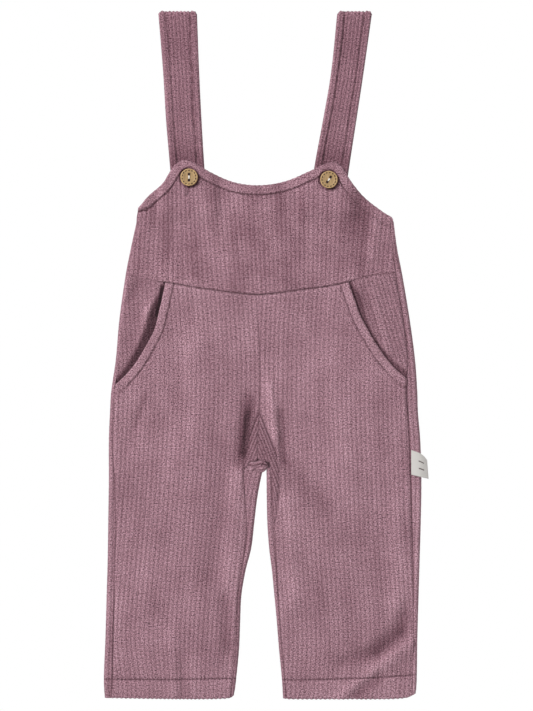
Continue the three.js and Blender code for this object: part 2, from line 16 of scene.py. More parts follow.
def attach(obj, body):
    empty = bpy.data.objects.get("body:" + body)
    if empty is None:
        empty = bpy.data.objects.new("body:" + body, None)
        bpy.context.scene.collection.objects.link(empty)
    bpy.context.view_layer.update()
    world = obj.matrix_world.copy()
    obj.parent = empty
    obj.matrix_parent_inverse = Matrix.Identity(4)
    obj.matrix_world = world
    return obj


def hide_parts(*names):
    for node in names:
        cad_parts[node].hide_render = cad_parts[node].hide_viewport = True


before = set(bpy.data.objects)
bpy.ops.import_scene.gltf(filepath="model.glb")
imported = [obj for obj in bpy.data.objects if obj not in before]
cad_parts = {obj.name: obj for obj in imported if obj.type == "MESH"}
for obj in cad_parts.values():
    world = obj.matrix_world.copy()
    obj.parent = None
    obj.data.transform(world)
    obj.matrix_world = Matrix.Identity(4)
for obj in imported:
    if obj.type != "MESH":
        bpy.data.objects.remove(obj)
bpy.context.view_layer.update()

bl_info = {
    "name": "Toddler dungarees",
    "version": (1, 0, 0),
    "blender": (4, 5, 0),
    "location": "View3D > Sidebar > Dungarees",
    "description": "Builds corduroy dungarees laid flat, with their sewing, buttons and label",
    "category": "Object",
}

MM = 0.001

# Cloth, as in the part
CLOTH = 1.6
GAP = 0.3
EDGE_TOP = 4.6
PUFF = 0.9
FRONT_BASE = EDGE_TOP - CLOTH
FACING_BASE = CLOTH + GAP
POCKET_BASE = 4.5
HEM = -296.0
HEM_STITCH = -279.0
CROTCH = -97.0
CHEVRON_TOP = -47.7
BACK_WAIST = 69.5
BACK_SHOULDER = 115.0
BACK_TOP = 138.0
STRAP = 2.2
STRAP_TOP = 295.75
STRAP_END = 131.0
STRAP_FRONT_TOP = 5.1
TAB_LIFT = 2.9
RIB = 0.7
BUTTON_BASE = FRONT_BASE + TAB_LIFT + CLOTH + RIB + GAP

# Ends of panels along Y: top of the front legs, bottom and top of the hip pieces, bottom of the chevron
LEG_TOP = 58
HIP_LOW = -33
HIP_TOP = 66
CHEVRON_LOW = -142
# Ends of the pockets' edges along Y
POCKET_LOW = -29
POCKET_HIGH = 66
# Where the rows of points on the front and back legs lie closer together, for the hem's stitching
STITCHED = (-281.5, -273.5)
BACK_STITCHED = (-282, -273)

# Finer cloth and sewing: the shells almost touch at their seams, and the back's seams lie beside the front's
SEAM_GAP = 0.04
BACK_SHIFT = 1.9
WALE_PITCH = 3.9
WALE_RISE = 0.44
STRAP_PITCH = 3.2
WANDER = 2.3
TUFT_LENGTH = 2.65
STITCH_STEP = 3.1
STITCH_LENGTH = 2.3
STITCH_RADIUS = 0.3
POCKET_STITCH = 7.6
NECK_STITCH = 8.4
STRAP_STITCH = 6.4
STITCH_LIFT = 0.15

# Painted light and shade of the folds: how much lighter the cloth is painted for each millimetre that a fold
# rises
FOLD_PAINTED_LIGHT = 0.11
# Widths over which the wales of the back spread
LEG_WALES = 118.0
BIB_WALES = 226.0
# Corners sharper than this, in degrees, stay sharp on the back
SHARP = 75
# Red that stays in the shadows of the pile
SHADOW_WARMTH = (0.055, 0.0, 0.013)

# Buttons: half the distance between the thread holes, their radius, and the ring of engraved dashes
HOLE_OFFSET = 2.4
HOLE_RADIUS = 1.0
DASH_RING = 5.9
DASHES = 14
# Button thread: how far it reaches from the middle, how far its strands lie apart, and their radius
THREAD_REACH = 1.6
STRAND_ASIDE = 0.36
STRAND_RADIUS = 0.26
# Buttonholes: step of the stitches, distance of their rows from the middle, and half sizes of the stitches
HOLE_STEP = 0.62
HOLE_ROW = 0.85
HOLE_STITCH = (0.8, 0.34, 0.26)
BAR_STITCH = (0.3, 0.6, 0.26)

# Small roll at the crotch: its middle, its half length, half width and half height, and its turn in degrees
TUCK_MIDDLE = (-7.2, -95.9, 3.7)
TUCK_HALF = (9.4, 5.0, 2.7)
TUCK_TURN = 4
# How far a hip piece reaches in under the front
HIP_UNDER = 11.5

# Outer edges of the garment, and the seams where the front meets the rolled back
SIDES = {
    "y": (-296, -279, -245, -210, -176, -142, -107, -73, -49, -32, -4, 30, 69, 92, 115),
    "left": (
        -138.5, -139.3, -138, -137, -136, -135.5, -135, -135, -134, -133, -129, -126, -120.5, -116, -111,
    ),
    "leftSeam": (
        -133, -132, -131.5, -130.5, -130, -129, -130, -132,
        -131, -130.5, -126.5, -123.5, -118, -113.5, -108.5,
    ),
    "rightSeam": (125.5, 126, 127, 127, 126.5, 125.5, 124.5, 123.5, 121.5, 120.5, 122, 118, 111.5, 109, 107),
    "right": (128.5, 129.5, 130, 131, 132, 133, 133.5, 132.5, 130.5, 130, 128, 123.5, 117, 112.5, 109.5),
}
# Inner edges of the legs, and their inseams
INNER = {
    "y": (-296, -279, -253, -228, -207, -186, -166, -145, -124, -106, -96),
    "leftSeam": (-30.5, -28.5, -26, -25, -24, -21, -18, -16.5, -18, -19.5, -18.5),
    "left": (-28, -26, -23.5, -22.5, -21.5, -18, -13, -10.5, -8, -4.7, -2.2),
    "right": (15, 14, 11.5, 9.5, 7.5, 5.5, 3, 1.5, 1, 0.8, 0.8),
    "rightSeam": (17.5, 16.5, 14, 12, 10.5, 9.5, 8.5, 7.5, 6, 4.6, 3.3),
}
CENTRE = {"y": (-98, -74, -49, -20, 28, 56), "x": (-7, -7, -5.5, -4.5, -6, -6)}
# Slanted outer sides of the chevron at the crotch
CHEVRON = {
    "y": (-142, -128, -114, -100, -88, -74, -58, -47),
    "left": (-19.6, -19.6, -19.6, -19.6, -17.8, -14.5, -9.6, -6.2),
    "right": (8.2, 10.2, 11.4, 11, 9, 5, -2, -4.8),
}
POCKETS = {
    "y": (-29, -21, -10, 0, 11, 23, 35, 48, 66),
    "left": (-134, -124.6, -114.5, -107.8, -101.5, -95.5, -92.5, -89.5, -85.8),
    "right": (132, 122, 109.5, 101.5, 94, 87, 80.8, 76.2, 69.8),
}
WAIST = {
    "x": (-122, -92, -60, -30, -6, 34, 62, 90, 114),
    "y": (69.2, 63.5, 58, 53.8, 52, 56.5, 60.5, 68.2, 70.6),
}
BIB_TOP = {
    "x": (-109.5, -101, -88.5, -82, -76, -69, -60, -46.5, -27, -6, 16, 38.5, 52, 60, 66, 74, 85, 100, 107.5),
    "y": (
        127, 137, 148, 158.5, 165.3, 167.3, 164.3, 156.5, 148.5, 146,
        149.3, 158.5, 164.8, 165.6, 160.5, 148, 135.3, 123.6, 119,
    ),
}
BACK_YOKE = {"x": (-106.5, -106, -97, -87, 73, 85, 98, 104.5), "y": (113, 124, 131, 138, 138, 130, 120, 113)}
STRAPS = {
    "y": (129, 161, 202, 243, 296),
    "leftFrom": (-80, -82.5, -86, -88.5, -92.8),
    "leftTo": (-50.5, -53, -55.5, -57.5, -59.5),
    "rightFrom": (37.5, 41.5, 49, 56, 61.5),
    "rightTo": (67, 71.5, 77.8, 84, 91.5),
}
# How far out from the pockets' edges shade is painted on the hip pieces, where they drop away from the light
POCKET_SHADE = {
    "y": (-33, -24, -14, -4, 11, 24, 34, 43, 52, 60),
    "left": (0.5, 3.0, 4.5, 6.0, 7.5, 9.0, 9.0, 7.5, 4.5, 1.8),
    "right": (0.5, 4.5, 5.5, 3.5, 2.2, 3.0, 4.5, 6.5, 6.5, 3.0),
}
# What differs between the sides. gape lifts the pocket's edge, strap_seams are how much shade is painted in
# each row of topstitching, depth and shade paint shade into the pocket's opening, the hip values are for the
# hip piece, one of them a painted shade over all of it, notch leaves room for the small roll at the crotch,
# and the last paints a highlight on the rolled back.
SIDE_LOOKS = {
    "left": {
        "sign": -1,
        "gape": 1.3,
        "strap_seams": (0.45, 0.8),
        "depth": 1.0,
        "shade": 0.8,
        "hip_lean": 0.05,
        "hip_rise": 0.65,
        "hip_painted_shade": -1.2,
        "hip_waist": 0.12,
        "notch": 8.5,
        "brushed_nap_and_highlight": 0.0,
    },
    "right": {
        "sign": 1,
        "gape": 0.6,
        "strap_seams": (0.85, 0.5),
        "depth": 0.0,
        "shade": 0.66,
        "hip_lean": 0.3,
        "hip_rise": 1.4,
        "hip_painted_shade": -0.7,
        "hip_waist": 0.25,
        "notch": 10.2,
        "brushed_nap_and_highlight": 0.2,
    },
}
# How plainly the side seams show
SEAM_STRENGTH = {
    "y": (-296, -285, -240, -190, -130, -60, -20, 40, 115),
    "left": (0.4, 0.55, 0.6, 0.45, 0.4, 0.3, 0.2, 0.12, 0.1),
    "right": (0.25, 0.3, 0.35, 0.5, 0.8, 0.6, 0.45, 0.5, 0.12),
}
# How far the wales lean on their way down each leg
GRAIN = {
    "y": (-296, -262, -225, -190, -150, -110, -70, -25, 15, 62),
    "left": (0.02, 0.03, -0.07, -0.09, -0.085, -0.06, -0.045, -0.01, 0.05, 0.11),
    "right": (-0.05, -0.05, 0.055, 0.07, 0.045, 0.03, 0.04, 0.0, -0.03, -0.10),
}
# Soft ridges (rise over 0) and troughs along a line of the front: X and Y of both ends, width, rise
FOLDS = (
    (-81, -240, -79, -290, 5, 1.1),
    (-72, -262, -71, -294, 2.5, -0.5),
    (-64, -262, -62, -290, 4, 0.7),
    (121, -214, 116, -237, 6, -1.3),
    (115, -238, 97, -254, 6, -2.6),
    (92, -256, 66, -264, 5.5, -1.4),
    (124, -249, 93, -271, 6, 2.1),
    (98, -275, 74, -294, 4, -1.3),
    (86, -276, 64, -294, 4, 0.9),
    (-24, -100, -33, -205, 7, 1.3),
    (-39, -95, -46, -190, 9, -0.9),
    (-35, -208, -33, -252, 5.5, -1.7),
    (20, -125, 23, -215, 6, 1.3),
    (113, -130, 114, -215, 8, 1.2),
    (-14, -38, -21.5, -92, 6, -3.0),
    (-16, -50, -20, -84, 3.5, -1.8),
    (-50, 6, -58, -22, 7, -0.6),
    (-104, -36, -121, -84, 5, -0.9),
    (-32, -88, -44, -70, 8, -0.8),
    (3, -26, 9, -72, 4, 2.2),
    (13, -50, 16, -92, 4, -2.2),
    (22, -96, 52, -132, 9, -1.1),
    (40, -104, 78, -112, 10, 0.5),
    (-60, 20, -66, -70, 14, 0.8),
    (62, 0, 70, -120, 14, 0.7),
    (-82, 138, -86, 92, 6, -1.0),
    (-102, 116, -106, 82, 6, 0.5),
    (73, 132, 71, 96, 8, -1.0),
    (94, 116, 91, 84, 5, 0.9),
    (103, 112, 104, 84, 4, -0.7),
)
# Deep troughs of the legs, which the light hardly reaches, painted with shade
LEG_SHADES = (
    {"line": ((-15, -46), (-18, -64), (-20.5, -84)), "width": 4.5, "dark": 0.4},
    {"line": ((-17.5, -52), (-19.5, -74)), "width": 2.2, "dark": 0.56},
    {"line": ((12, -68), (15, -92)), "width": 2.4, "dark": 0.28},
    {"line": ((-104, -36), (-113, -62)), "width": 1.6, "dark": 0.22},
    {"line": ((119, -224), (108, -246), (88, -257)), "width": 6.5, "dark": 0.2},
    {"line": ((99, -279), (78, -293)), "width": 3.0, "dark": 0.3},
)
# Soft ridges and troughs on the hip pieces. The ridge on the left stands up beside the pocket's opening
HIP_FOLDS = (
    (-91, 57, -101, 37, 4, 1.7),
    (-101, 37, -108, 10, 4.5, 1.5),
    (-108, 10, -118, -8, 4, 0.9),
    (-109, 62, -117, 48, 4, -0.9),
    (92, 58, 105, 4, 3.5, 0.9),
    (84, 56, 98, 14, 3.5, -0.8),
)
# Lower edge of the legs
HEM_EDGE = {
    "x": (-140, -100, -60, -36, -30, -27, 14, 19, 60, 100, 114, 122, 126, 130),
    "y": (
        -295, -295.6, -296, -295.6, -294.6, -292.6, -295.4,
        -296, -296, -296, -295.6, -294.6, -292.8, -290.5,
    ),
}
# Stitch line of the hems
HEM_LINE = {"x": (-140, -80, -26, 14, 60, 100, 131), "y": (-279, -279, -278.4, -279.6, -278.6, -277.2, -275)}
# Each button's middle and turn in degrees, the ends of its buttonhole, and the spots (X, Y, size) of painted
# shade in it
BUTTONS = (
    {
        "side": "left",
        "x": -66.0,
        "y": 152.5,
        "turn": 90,
        "hole": ((-65.9, 154.5), (-68.6, 138.2)),
        "spots": ((-66.8, 144.2, 1.7), (-67.7, 141.9, 1.2), (-68.6, 137.6, 1.0)),
    },
    {
        "side": "right",
        "x": 54.0,
        "y": 150.5,
        "turn": 56,
        "hole": ((54.2, 158.0), (54.6, 142.6)),
        "spots": ((54.6, 142.6, 1.2),),
    },
)
# The label from the seam to its fold, and its length and width
LABEL_SECTIONS = {
    "x": (124.9, 129, 133, 136.6, 139.3),
    "upper": (-81.6, -83, -84.6, -87.2, -90.4),
    "lower": (-102.8, -104, -105, -105.9, -106.6),
    "z": (5.7, 5.8, 5.5, 4.3, 3.0),
}
LABEL_LENGTH = 15
LABEL_WIDTH = 21
LABEL_THICK = 0.9

# The photo's height in pixels and millimetres for a pixel, which set how far up the camera is
IMAGE_HEIGHT = 711
PIXEL = 0.86
SENSOR = 36
LENS = 120
FLOOR_DROP = 0.0006
# Each light's place, size and the setting that holds its power
LIGHTS = (
    ("key", (-2.25, 1.6, 2.35), 1.25, "key_light"),
    ("overhead", (0.3, -0.2, 1.9), 1.6, "fill_light"),
)


def ramp(value, start, end):
    """From 0 to 1 between the two values, soft at both ends."""
    t = np.clip((value - start) / (end - start), 0, 1)
    return t * t * (3 - 2 * t)


def bell(distance, width):
    """From 1 at no distance down to 0 well beyond the width."""
    return np.exp(-((distance / width) ** 2))


def wave(across, power):
    """Crests of 1 at whole numbers and valleys of 0 between them. A lower power makes the crests wider."""
    return (0.5 + 0.5 * np.cos(math.tau * across)) ** power


def lookup(table, source, target):
    """A smooth function through one column of a table, read by another column that rises."""
    at = np.array(table[source], float)
    value = np.array(table[target], float)
    last = len(at) - 1
    low = np.maximum(np.arange(last + 1) - 1, 0)
    high = np.minimum(np.arange(last + 1) + 1, last)
    slope = (value[high] - value[low]) / (at[high] - at[low])

    def read(where):
        where = np.clip(np.asarray(where, float), at[0], at[-1])
        i = np.clip(np.searchsorted(at, where, side="left") - 1, 0, last - 1)
        span = at[i + 1] - at[i]
        t = (where - at[i]) / span
        chord = (value[i + 1] - value[i]) / span
        bend = t * (1 - t) * span * ((slope[i] - chord) * (1 - t) - (slope[i + 1] - chord) * t)
        return value[i] + (value[i + 1] - value[i]) * t + bend

    return read


def graded(*spans):
    """Rising values from spans of (start, end, step)."""
    parts = [np.linspace(a, b, max(int(round(abs(b - a) / step)), 1) + 1) for a, b, step in spans]
    joined = np.sort(np.concatenate(parts))
    return joined[np.concatenate([[True], np.diff(joined) > 1e-6])]


def line_of(read, levels, shift=0.0):
    """Points of an edge that is read by Y."""
    levels = np.asarray(levels, float)
    return np.stack([read(levels) + shift, levels], axis=1)


def nearest(x, y, line):
    """Distance from each place to a line of points, and how far along the line its nearest point is."""
    away = np.full(np.shape(x), 1e9)
    along = np.zeros(np.shape(x))
    start = 0.0
    for p, q in zip(line[:-1], line[1:]):
        d = q - p
        length = float(np.hypot(*d)) or 1e-9
        t = np.clip(((x - p[0]) * d[0] + (y - p[1]) * d[1]) / length**2, 0, 1)
        gap = np.hypot(x - p[0] - t * d[0], y - p[1] - t * d[1])
        closer = gap < away
        away = np.where(closer, gap, away)
        along = np.where(closer, start + t * length, along)
        start += length
    return away, along


def soft_floor(value, low, reach=0.35):
    """The value, held softly above its lowest level."""
    return low + reach * np.logaddexp(0, (value - low) / reach)


def fold_height(x, y, folds=FOLDS):
    """How far the soft folds raise or lower the cloth."""
    total = np.zeros(np.shape(x))
    for x0, y0, x1, y1, width, rise in folds:
        away, _ = nearest(x, y, np.array([[x0, y0], [x1, y1]], float))
        total += rise * bell(away, width)
    return total


def shade_at(x, y, shades):
    """How much shade is painted on the cloth in deep troughs."""
    total = np.zeros(np.shape(x))
    for shade in shades:
        away, _ = nearest(x, y, np.array(shade["line"], float))
        total = np.maximum(total, shade["dark"] * bell(away, shade["width"]))
    return total


def side_of(name):
    """What belongs to one side of the garment, with its edges as functions of Y."""
    return {
        **SIDE_LOOKS[name],
        "name": name,
        "outer": lookup(SIDES, "y", name),
        "outer_seam": lookup(SIDES, "y", name + "Seam"),
        "inner": lookup(INNER, "y", name),
        "inner_seam": lookup(INNER, "y", name + "Seam"),
        "chevron": lookup(CHEVRON, "y", name),
        "pocket": lookup(POCKETS, "y", name),
        "strap_from": lookup(STRAPS, "y", name + "From"),
        "strap_to": lookup(STRAPS, "y", name + "To"),
        "grain": lookup(GRAIN, "y", name),
        "seam_strength": lookup(SEAM_STRENGTH, "y", name),
    }


SIDE = {name: side_of(name) for name in SIDE_LOOKS}
centre = lookup(CENTRE, "y", "x")
waist = lookup(WAIST, "x", "y")
bib_top = lookup(BIB_TOP, "x", "y")
hem_edge = lookup(HEM_EDGE, "x", "y")
hem_line = lookup(HEM_LINE, "x", "y")


def centre_strength(y):
    """The centre seam shows a little more towards the crotch."""
    return 0.2 - 0.08 * ramp(y, 10, 40)


def inseam_strength(y):
    """The inseams show more towards the hems."""
    return 0.5 - 0.15 * ramp(y, -190, -120)


def waist_strength(x, _):
    """The waist seam hardly shows over the left hip, and is softer over the right one."""
    return 0.75 - 0.62 * (1 - ramp(x, -92, -86)) - 0.35 * ramp(x, 70, 80)


def by_level(read):
    """A function of X and Y from one of Y alone."""
    return lambda _, y: read(y)


def pocket_end(part):
    """Level at which the pocket's edge runs into the side seam."""
    levels = np.linspace(POCKET_LOW, -10, 191)
    clear = part["sign"] * (part["outer_seam"](levels) - part["pocket"](levels)) > GAP
    return float(levels[np.argmax(clear)])


def inside_pocket(part, x, y):
    """How far a place lies under the front, in from the pocket's edge. Below 0 it shows in the opening."""
    away, _ = nearest(x, y, line_of(part["pocket"], np.linspace(POCKET_LOW, POCKET_HIGH, 20)))
    under = (part["sign"] * (part["pocket"](y) - x) > 0) | (y < POCKET_LOW)
    return np.where(under, away, -away)


def leg_base(part):
    """Height of a front leg's underside, which puffs up between its seams and gapes at the pocket."""

    def base(x, y):
        outer = part["outer_seam"](y)
        inner = np.where(y > CROTCH, centre(y), part["inner_seam"](y))
        across = np.clip((x - outer) / (inner - outer), 0, 1)
        lying = FRONT_BASE + PUFF * 4 * across * (1 - across) + fold_height(x, y)
        inside = inside_pocket(part, x, y)
        pocket = 1 - ramp(inside, 20, 38)
        gape = part["gape"] * (1 - ramp(inside, 0, 16)) * ramp(y, -20, 20) * (1 - ramp(y, 48, 64))
        lying = soft_floor(lying, FACING_BASE) * (1 - pocket) + soft_floor(lying, POCKET_BASE) * pocket
        return lying + gape

    return base


def facing_base(part):
    """Height of a hip piece's underside, which rises where it shows in the pocket's opening."""

    def base(x, y):
        shown = ramp(-inside_pocket(part, x, y), 0, 11)
        return FACING_BASE + soft_floor(1.6 + fold_height(x, y, HIP_FOLDS), 0) * shown

    return base


def bib_base(x, y):
    """Height of the bib's underside, which rises over the straps and dips under the buttons."""
    puff = PUFF * (1 - (x / 115) ** 2)
    over = np.zeros(np.shape(x))
    for part in SIDE.values():
        beside = np.maximum(part["strap_from"](y) - x, x - part["strap_to"](y))
        over = np.maximum(over, (1 - ramp(beside, 4, 16)) * ramp(y, STRAP_END - 20, STRAP_END - 6))
    lying = FRONT_BASE + np.maximum(soft_floor(puff + fold_height(x, y), -1.0), TAB_LIFT * over)
    for place in BUTTONS:
        away = np.hypot(x - place["x"], y - place["y"])
        lying -= 0.8 * (1 - ramp(away, 7.6, 9.6))
    return lying


def leg_grain(part):
    """Wale coordinate on a front leg. The wales follow the table of lean, and pinch at the left hem."""
    levels = np.linspace(HEM - 4, 72, 200)
    lean = part["grain"](levels)
    run = np.concatenate([[0], np.cumsum((lean[1:] + lean[:-1]) / 2 * np.diff(levels))])

    def across(x, y):
        moved = x + np.interp(y, levels, run)
        if part["sign"] < 0:
            pinch = 4.5 * (1 - ramp(y, -292, -235))
            moved = moved + pinch * np.tanh((x + 73) / 22)
        return moved

    return across


def bib_grain(x, y):
    """Wale coordinate on the bib. The wales lean a little in three places."""
    lean = 0.075 * bell(x + 36, 48)
    lean -= 0.07 * bell(x + 112, 34)
    lean -= 0.09 * bell(x - 92, 38)
    return x + lean * (y - 108)


def chevron_grain(part):
    """Wale coordinate on the chevron. Its wales lean out from the centre, and turn upright further down."""
    levels = np.linspace(-150, -40, 120)
    lean = part["sign"] * (0.06 + 0.34 * ramp(levels, -140, -100))
    run = np.concatenate([[0], np.cumsum((lean[1:] + lean[:-1]) / 2 * np.diff(levels))])
    return lambda x, y: 1.38 * (x + np.interp(y, levels, run) - np.interp(-60, levels, run))


class Panel:
    """The faces of one panel of cloth at any place, in millimetres.

    seams are (line, strength) where the cloth dips into a seam.
    turned are (line, stitch distance, how plainly it shows) of turned edges that are topstitched.
    """

    def __init__(self, base, grain, seams, turned=()):
        self.base = base
        self.grain = grain
        self.seams = seams
        self.turned = turned
        self.lift = lambda x, y: 0.0
        self.hemmed = False
        self.painted_shade = None
        self.rise = 1.0
        # Height that is painted as the light and shade of the folds
        self.nap_and_painted_light = fold_height

    def work(self, x, y):
        """Height of the worked edges, the shade painted in their seams, grooves and hollows, the highlight
        painted on their edges and bands (partly flatter pile), and how flat the pile is there.
        """
        height, crease_and_shade, pale, flat = (np.zeros(np.shape(x)) for _ in range(4))
        for line, strength in self.seams:
            away, along = nearest(x, y, line)
            strength = strength(x, y) if callable(strength) else strength
            wander = 0.68 + 0.32 * np.sin(along * 0.9) * np.sin(along * 0.23 + 1.3)
            height -= 1.3 * strength * bell(away, 0.8)
            height += 0.45 * strength * wander * bell(away - 3.0, 1.6)
            # Painted shade in the seam's dip, partly a darker seam line; painted highlight on the ridge
            # beside it
            crease_and_shade = np.maximum(crease_and_shade, strength * wander * bell(away, 0.6))
            pale = np.maximum(pale, 0.8 * strength * bell(away - 2.4, 1.3))
            flat = np.maximum(flat, 0.5 * strength * bell(away, 2.5))
        for line, stitch, show in self.turned:
            away, along = nearest(x, y, line)
            stitch = stitch(x) if callable(stitch) else stitch
            show = show(x) if callable(show) else show
            ripple = 0.3 * np.sin(along * 1.55) * np.sin(along * 0.29 + 1) + 0.15 * np.sin(along * 3.1)
            band = ramp(away, 0, 1.4) * (1 - ramp(away, stitch - 1.5, stitch + 0.2))
            band = band * show
            height += 0.6 * band - 0.75 * bell(away, 0.6)
            tuck = 0.78 + 0.22 * np.cos(along * math.tau / STITCH_STEP)
            groove = show * tuck * bell(away + ripple - stitch, 0.7)
            height -= 1.15 * groove
            # Painted shade in the stitch groove, and painted highlight on the band, which also has flatter
            # pile
            crease_and_shade = np.maximum(crease_and_shade, 0.8 * groove)
            pale = np.maximum(pale, 0.75 * band)
            flat = np.maximum(flat, 0.75 * band)
        if self.hemmed:
            stitch = y - hem_line(x)
            edge = y - hem_edge(x)
            ripple = 0.25 * np.sin(x * 1.55) * np.sin(x * 0.29 + 1)
            tuck = 0.7 + 0.3 * np.cos(x * math.tau / STITCH_STEP)
            groove = tuck * bell(stitch + ripple, 0.7)
            height += 0.4 * (1 - ramp(stitch, -1.5, 0)) - 0.9 * groove - 0.8 * bell(edge, 0.7)
            # Painted shade in the hem's stitch groove, and painted highlight on the turned hem
            crease_and_shade = np.maximum(crease_and_shade, 0.75 * groove)
            pale = np.maximum(pale, 0.35 * (1 - ramp(stitch, -1.5, 0)))
            flat = np.maximum(flat, 0.25 * (1 - ramp(stitch, -1.5, 0)))
        # Painted shade in troughs, pocket openings, chevron valleys and round the buttons
        if self.painted_shade is not None:
            crease_and_shade = np.maximum(crease_and_shade, self.painted_shade(x, y))
        return height, crease_and_shade, pale, flat

    def wales(self, x, y):
        """Height of the wales."""
        across = self.grain(x, y) / WALE_PITCH
        rib = np.rint(across)
        crest = wave(across, 0.5)
        uneven = 0.2 * np.sin(0.83 * y + 2.1 * rib) + 0.14 * np.sin(2.37 * y + 4.7 * rib)
        return self.rise * WALE_RISE * crest * (0.9 + uneven)

    def top(self, x, y):
        """Height of the upper face."""
        height, _, _, flat = self.work(x, y)
        return self.base(x, y) + self.lift(x, y) + CLOTH + self.wales(x, y) * (1 - flat) + height

    def under(self, x, y):
        """Height of the lower face, rounded at its edges."""
        edges = [line for line, *_ in (*self.seams, *self.turned)]
        away = np.min([nearest(x, y, line)[0] for line in edges], axis=0) if edges else 9.0
        return self.base(x, y) + self.lift(x, y) + 0.3 * bell(away, 0.7)


def mesh_of(name, bm):
    mesh = bpy.data.meshes.new(name)
    bm.to_mesh(mesh)
    bm.free()
    return mesh


def points_of(mesh):
    """Places of a mesh's vertices, one row for each."""
    flat = np.empty(len(mesh.vertices) * 3)
    mesh.vertices.foreach_get("co", flat)
    return flat.reshape(-1, 3)


# A colour attribute of painted shade, painted highlight, pressed pile and the painted light of the folds
def set_shade_and_finish(mesh, shade_and_finish):
    colour = mesh.color_attributes.new(name="Finish", type="FLOAT_COLOR", domain="POINT")
    colour.data.foreach_set("color", shade_and_finish.astype(np.float32).ravel())


def cloth_sheet(columns, levels, place):
    """A closed sheet from a grid.

    columns and levels are the grid's own values. From them and a flag for the inner face, place gives each
    point its X, Y, Z, its grain, and its painted shade and highlight with the pressed pile.
    """
    bm = bmesh.new()
    bmesh.ops.create_grid(bm, x_segments=len(columns) - 1, y_segments=len(levels) - 1, size=1)
    bmesh.ops.solidify(bm, geom=bm.faces[:], thickness=1)
    mesh = mesh_of("sheet", bm)
    flat = points_of(mesh)
    across = np.rint((flat[:, 0] + 1) / 2 * (len(columns) - 1)).astype(int)
    up = np.rint((flat[:, 1] + 1) / 2 * (len(levels) - 1)).astype(int)
    under = np.abs(flat[:, 2]) > 0.5
    points, grain, shade_and_finish = place(np.asarray(columns)[across], np.asarray(levels)[up], under)
    mesh.vertices.foreach_set("co", (points * MM).ravel())
    return mesh, grain, shade_and_finish


def shade_and_finish_of(like, crease_and_shade=0.0, pale=0.0, flat=0.0, nap_and_painted_light=0.5):
    """Colour attribute of the worked cloth: painted shade in creases, seams and hollows, paler edges and
    bands (painted highlight, partly flatter pile), pile pressed flat, and the painted light and shade of the
    folds.
    """
    parts = [np.broadcast_to(np.clip(part, 0, 1), np.shape(like)) for part in (crease_and_shade, pale, flat, nap_and_painted_light)]
    return np.stack(parts, 1)


def piece(name, sheets, material, slot, replaces=()):
    """One object from several sheets, with the grain as its UV map and the painted shade and highlight, with
    the pressed pile, as an attribute.
    """
    bm = bmesh.new()
    for mesh, _, _ in sheets:
        bm.from_mesh(mesh)
        bpy.data.meshes.remove(mesh)
    bmesh.ops.recalc_face_normals(bm, faces=bm.faces[:])
    mesh = mesh_of(name, bm)
    grain = np.concatenate([part for _, part, _ in sheets])
    shade_and_finish = np.concatenate([part for _, _, part in sheets])
    corner = np.empty(len(mesh.loops), int)
    mesh.loops.foreach_get("vertex_index", corner)
    layer = mesh.uv_layers.new(name="Grain")
    layer.data.foreach_set("uv", grain[corner].ravel())
    set_shade_and_finish(mesh, shade_and_finish)
    mesh.shade_smooth()
    return show(name, mesh, material, slot, replaces)


def show(name, mesh, material, slot, replaces=()):
    """Puts a mesh in the scene as a piece of the garment."""
    thing = bpy.data.objects.new(name, mesh)
    bpy.context.scene.collection.objects.link(thing)
    mesh.materials.clear()
    mesh.materials.append(material)
    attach(thing, "root")
    if replaces:
        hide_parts(*replaces)
    return thing


def panel_sheet(panel, columns, levels, outline):
    """A sheet of a panel. outline turns the grid's values into X and Y."""

    def place(u, t, under):
        x, y = outline(u, t)
        z = np.where(under, panel.under(x, y), panel.top(x, y))
        _, crease_and_shade, pale, flat = panel.work(x, y)
        # Painted light and shade from the height of the folds
        nap_and_painted_light = 0.5 + FOLD_PAINTED_LIGHT * panel.nap_and_painted_light(x, y)
        grain = np.stack([panel.grain(x, y), y], 1)
        return np.stack([x, y, z], 1), grain, shade_and_finish_of(x, crease_and_shade, pale, flat, nap_and_painted_light)

    return cloth_sheet(columns, levels, place)


# Edges of the panels

def leg_edges(part):
    """Outer and inner edge of a front leg as functions of Y, and the level where its pocket ends."""
    sign = part["sign"]
    end = pocket_end(part)

    def outer(y):
        seam = part["outer_seam"](y) - sign * SEAM_GAP
        return np.where(y > end, sign * np.minimum(sign * part["pocket"](y), sign * seam), seam)

    def inner(y):
        seam = part["inner_seam"](y) + sign * SEAM_GAP
        middle = centre(y) + sign * SEAM_GAP / 2
        flank = part["chevron"](y)
        low = CHEVRON_LOW if sign > 0 else CROTCH
        return np.where(y > CHEVRON_TOP, middle, np.where(y > low, flank, seam))

    return outer, inner, end


def leg_panel(part):
    """Front of a leg, with its seams, its pocket's turned edge and its hem."""
    sign = part["sign"]
    outer, inner, end = leg_edges(part)
    top_x = np.linspace(part["pocket"](61.5), -6 + sign * SEAM_GAP / 2, 12)
    low = CHEVRON_LOW + 4 if sign > 0 else CROTCH
    seams = [
        (np.stack([top_x, waist(top_x) - SEAM_GAP / 2], 1), 0.75),
        (line_of(outer, np.linspace(HEM, end, 24)), by_level(part["seam_strength"])),
        (line_of(centre, np.linspace(CHEVRON_TOP, 52, 10)), by_level(centre_strength)),
        (line_of(inner, np.linspace(HEM, low, 18)), by_level(inseam_strength)),
        (line_of(part["chevron"], np.linspace(low, CHEVRON_TOP, 12)), 0.45),
    ]
    turned = [
        (line_of(part["pocket"], np.linspace(end, 62, 26)), POCKET_STITCH, 0.75),
    ]
    panel = Panel(leg_base(part), leg_grain(part), seams, turned)
    # Painted shade in the deepest troughs
    panel.painted_shade = lambda x, y: shade_at(x, y, LEG_SHADES)
    panel.hemmed = True
    return panel


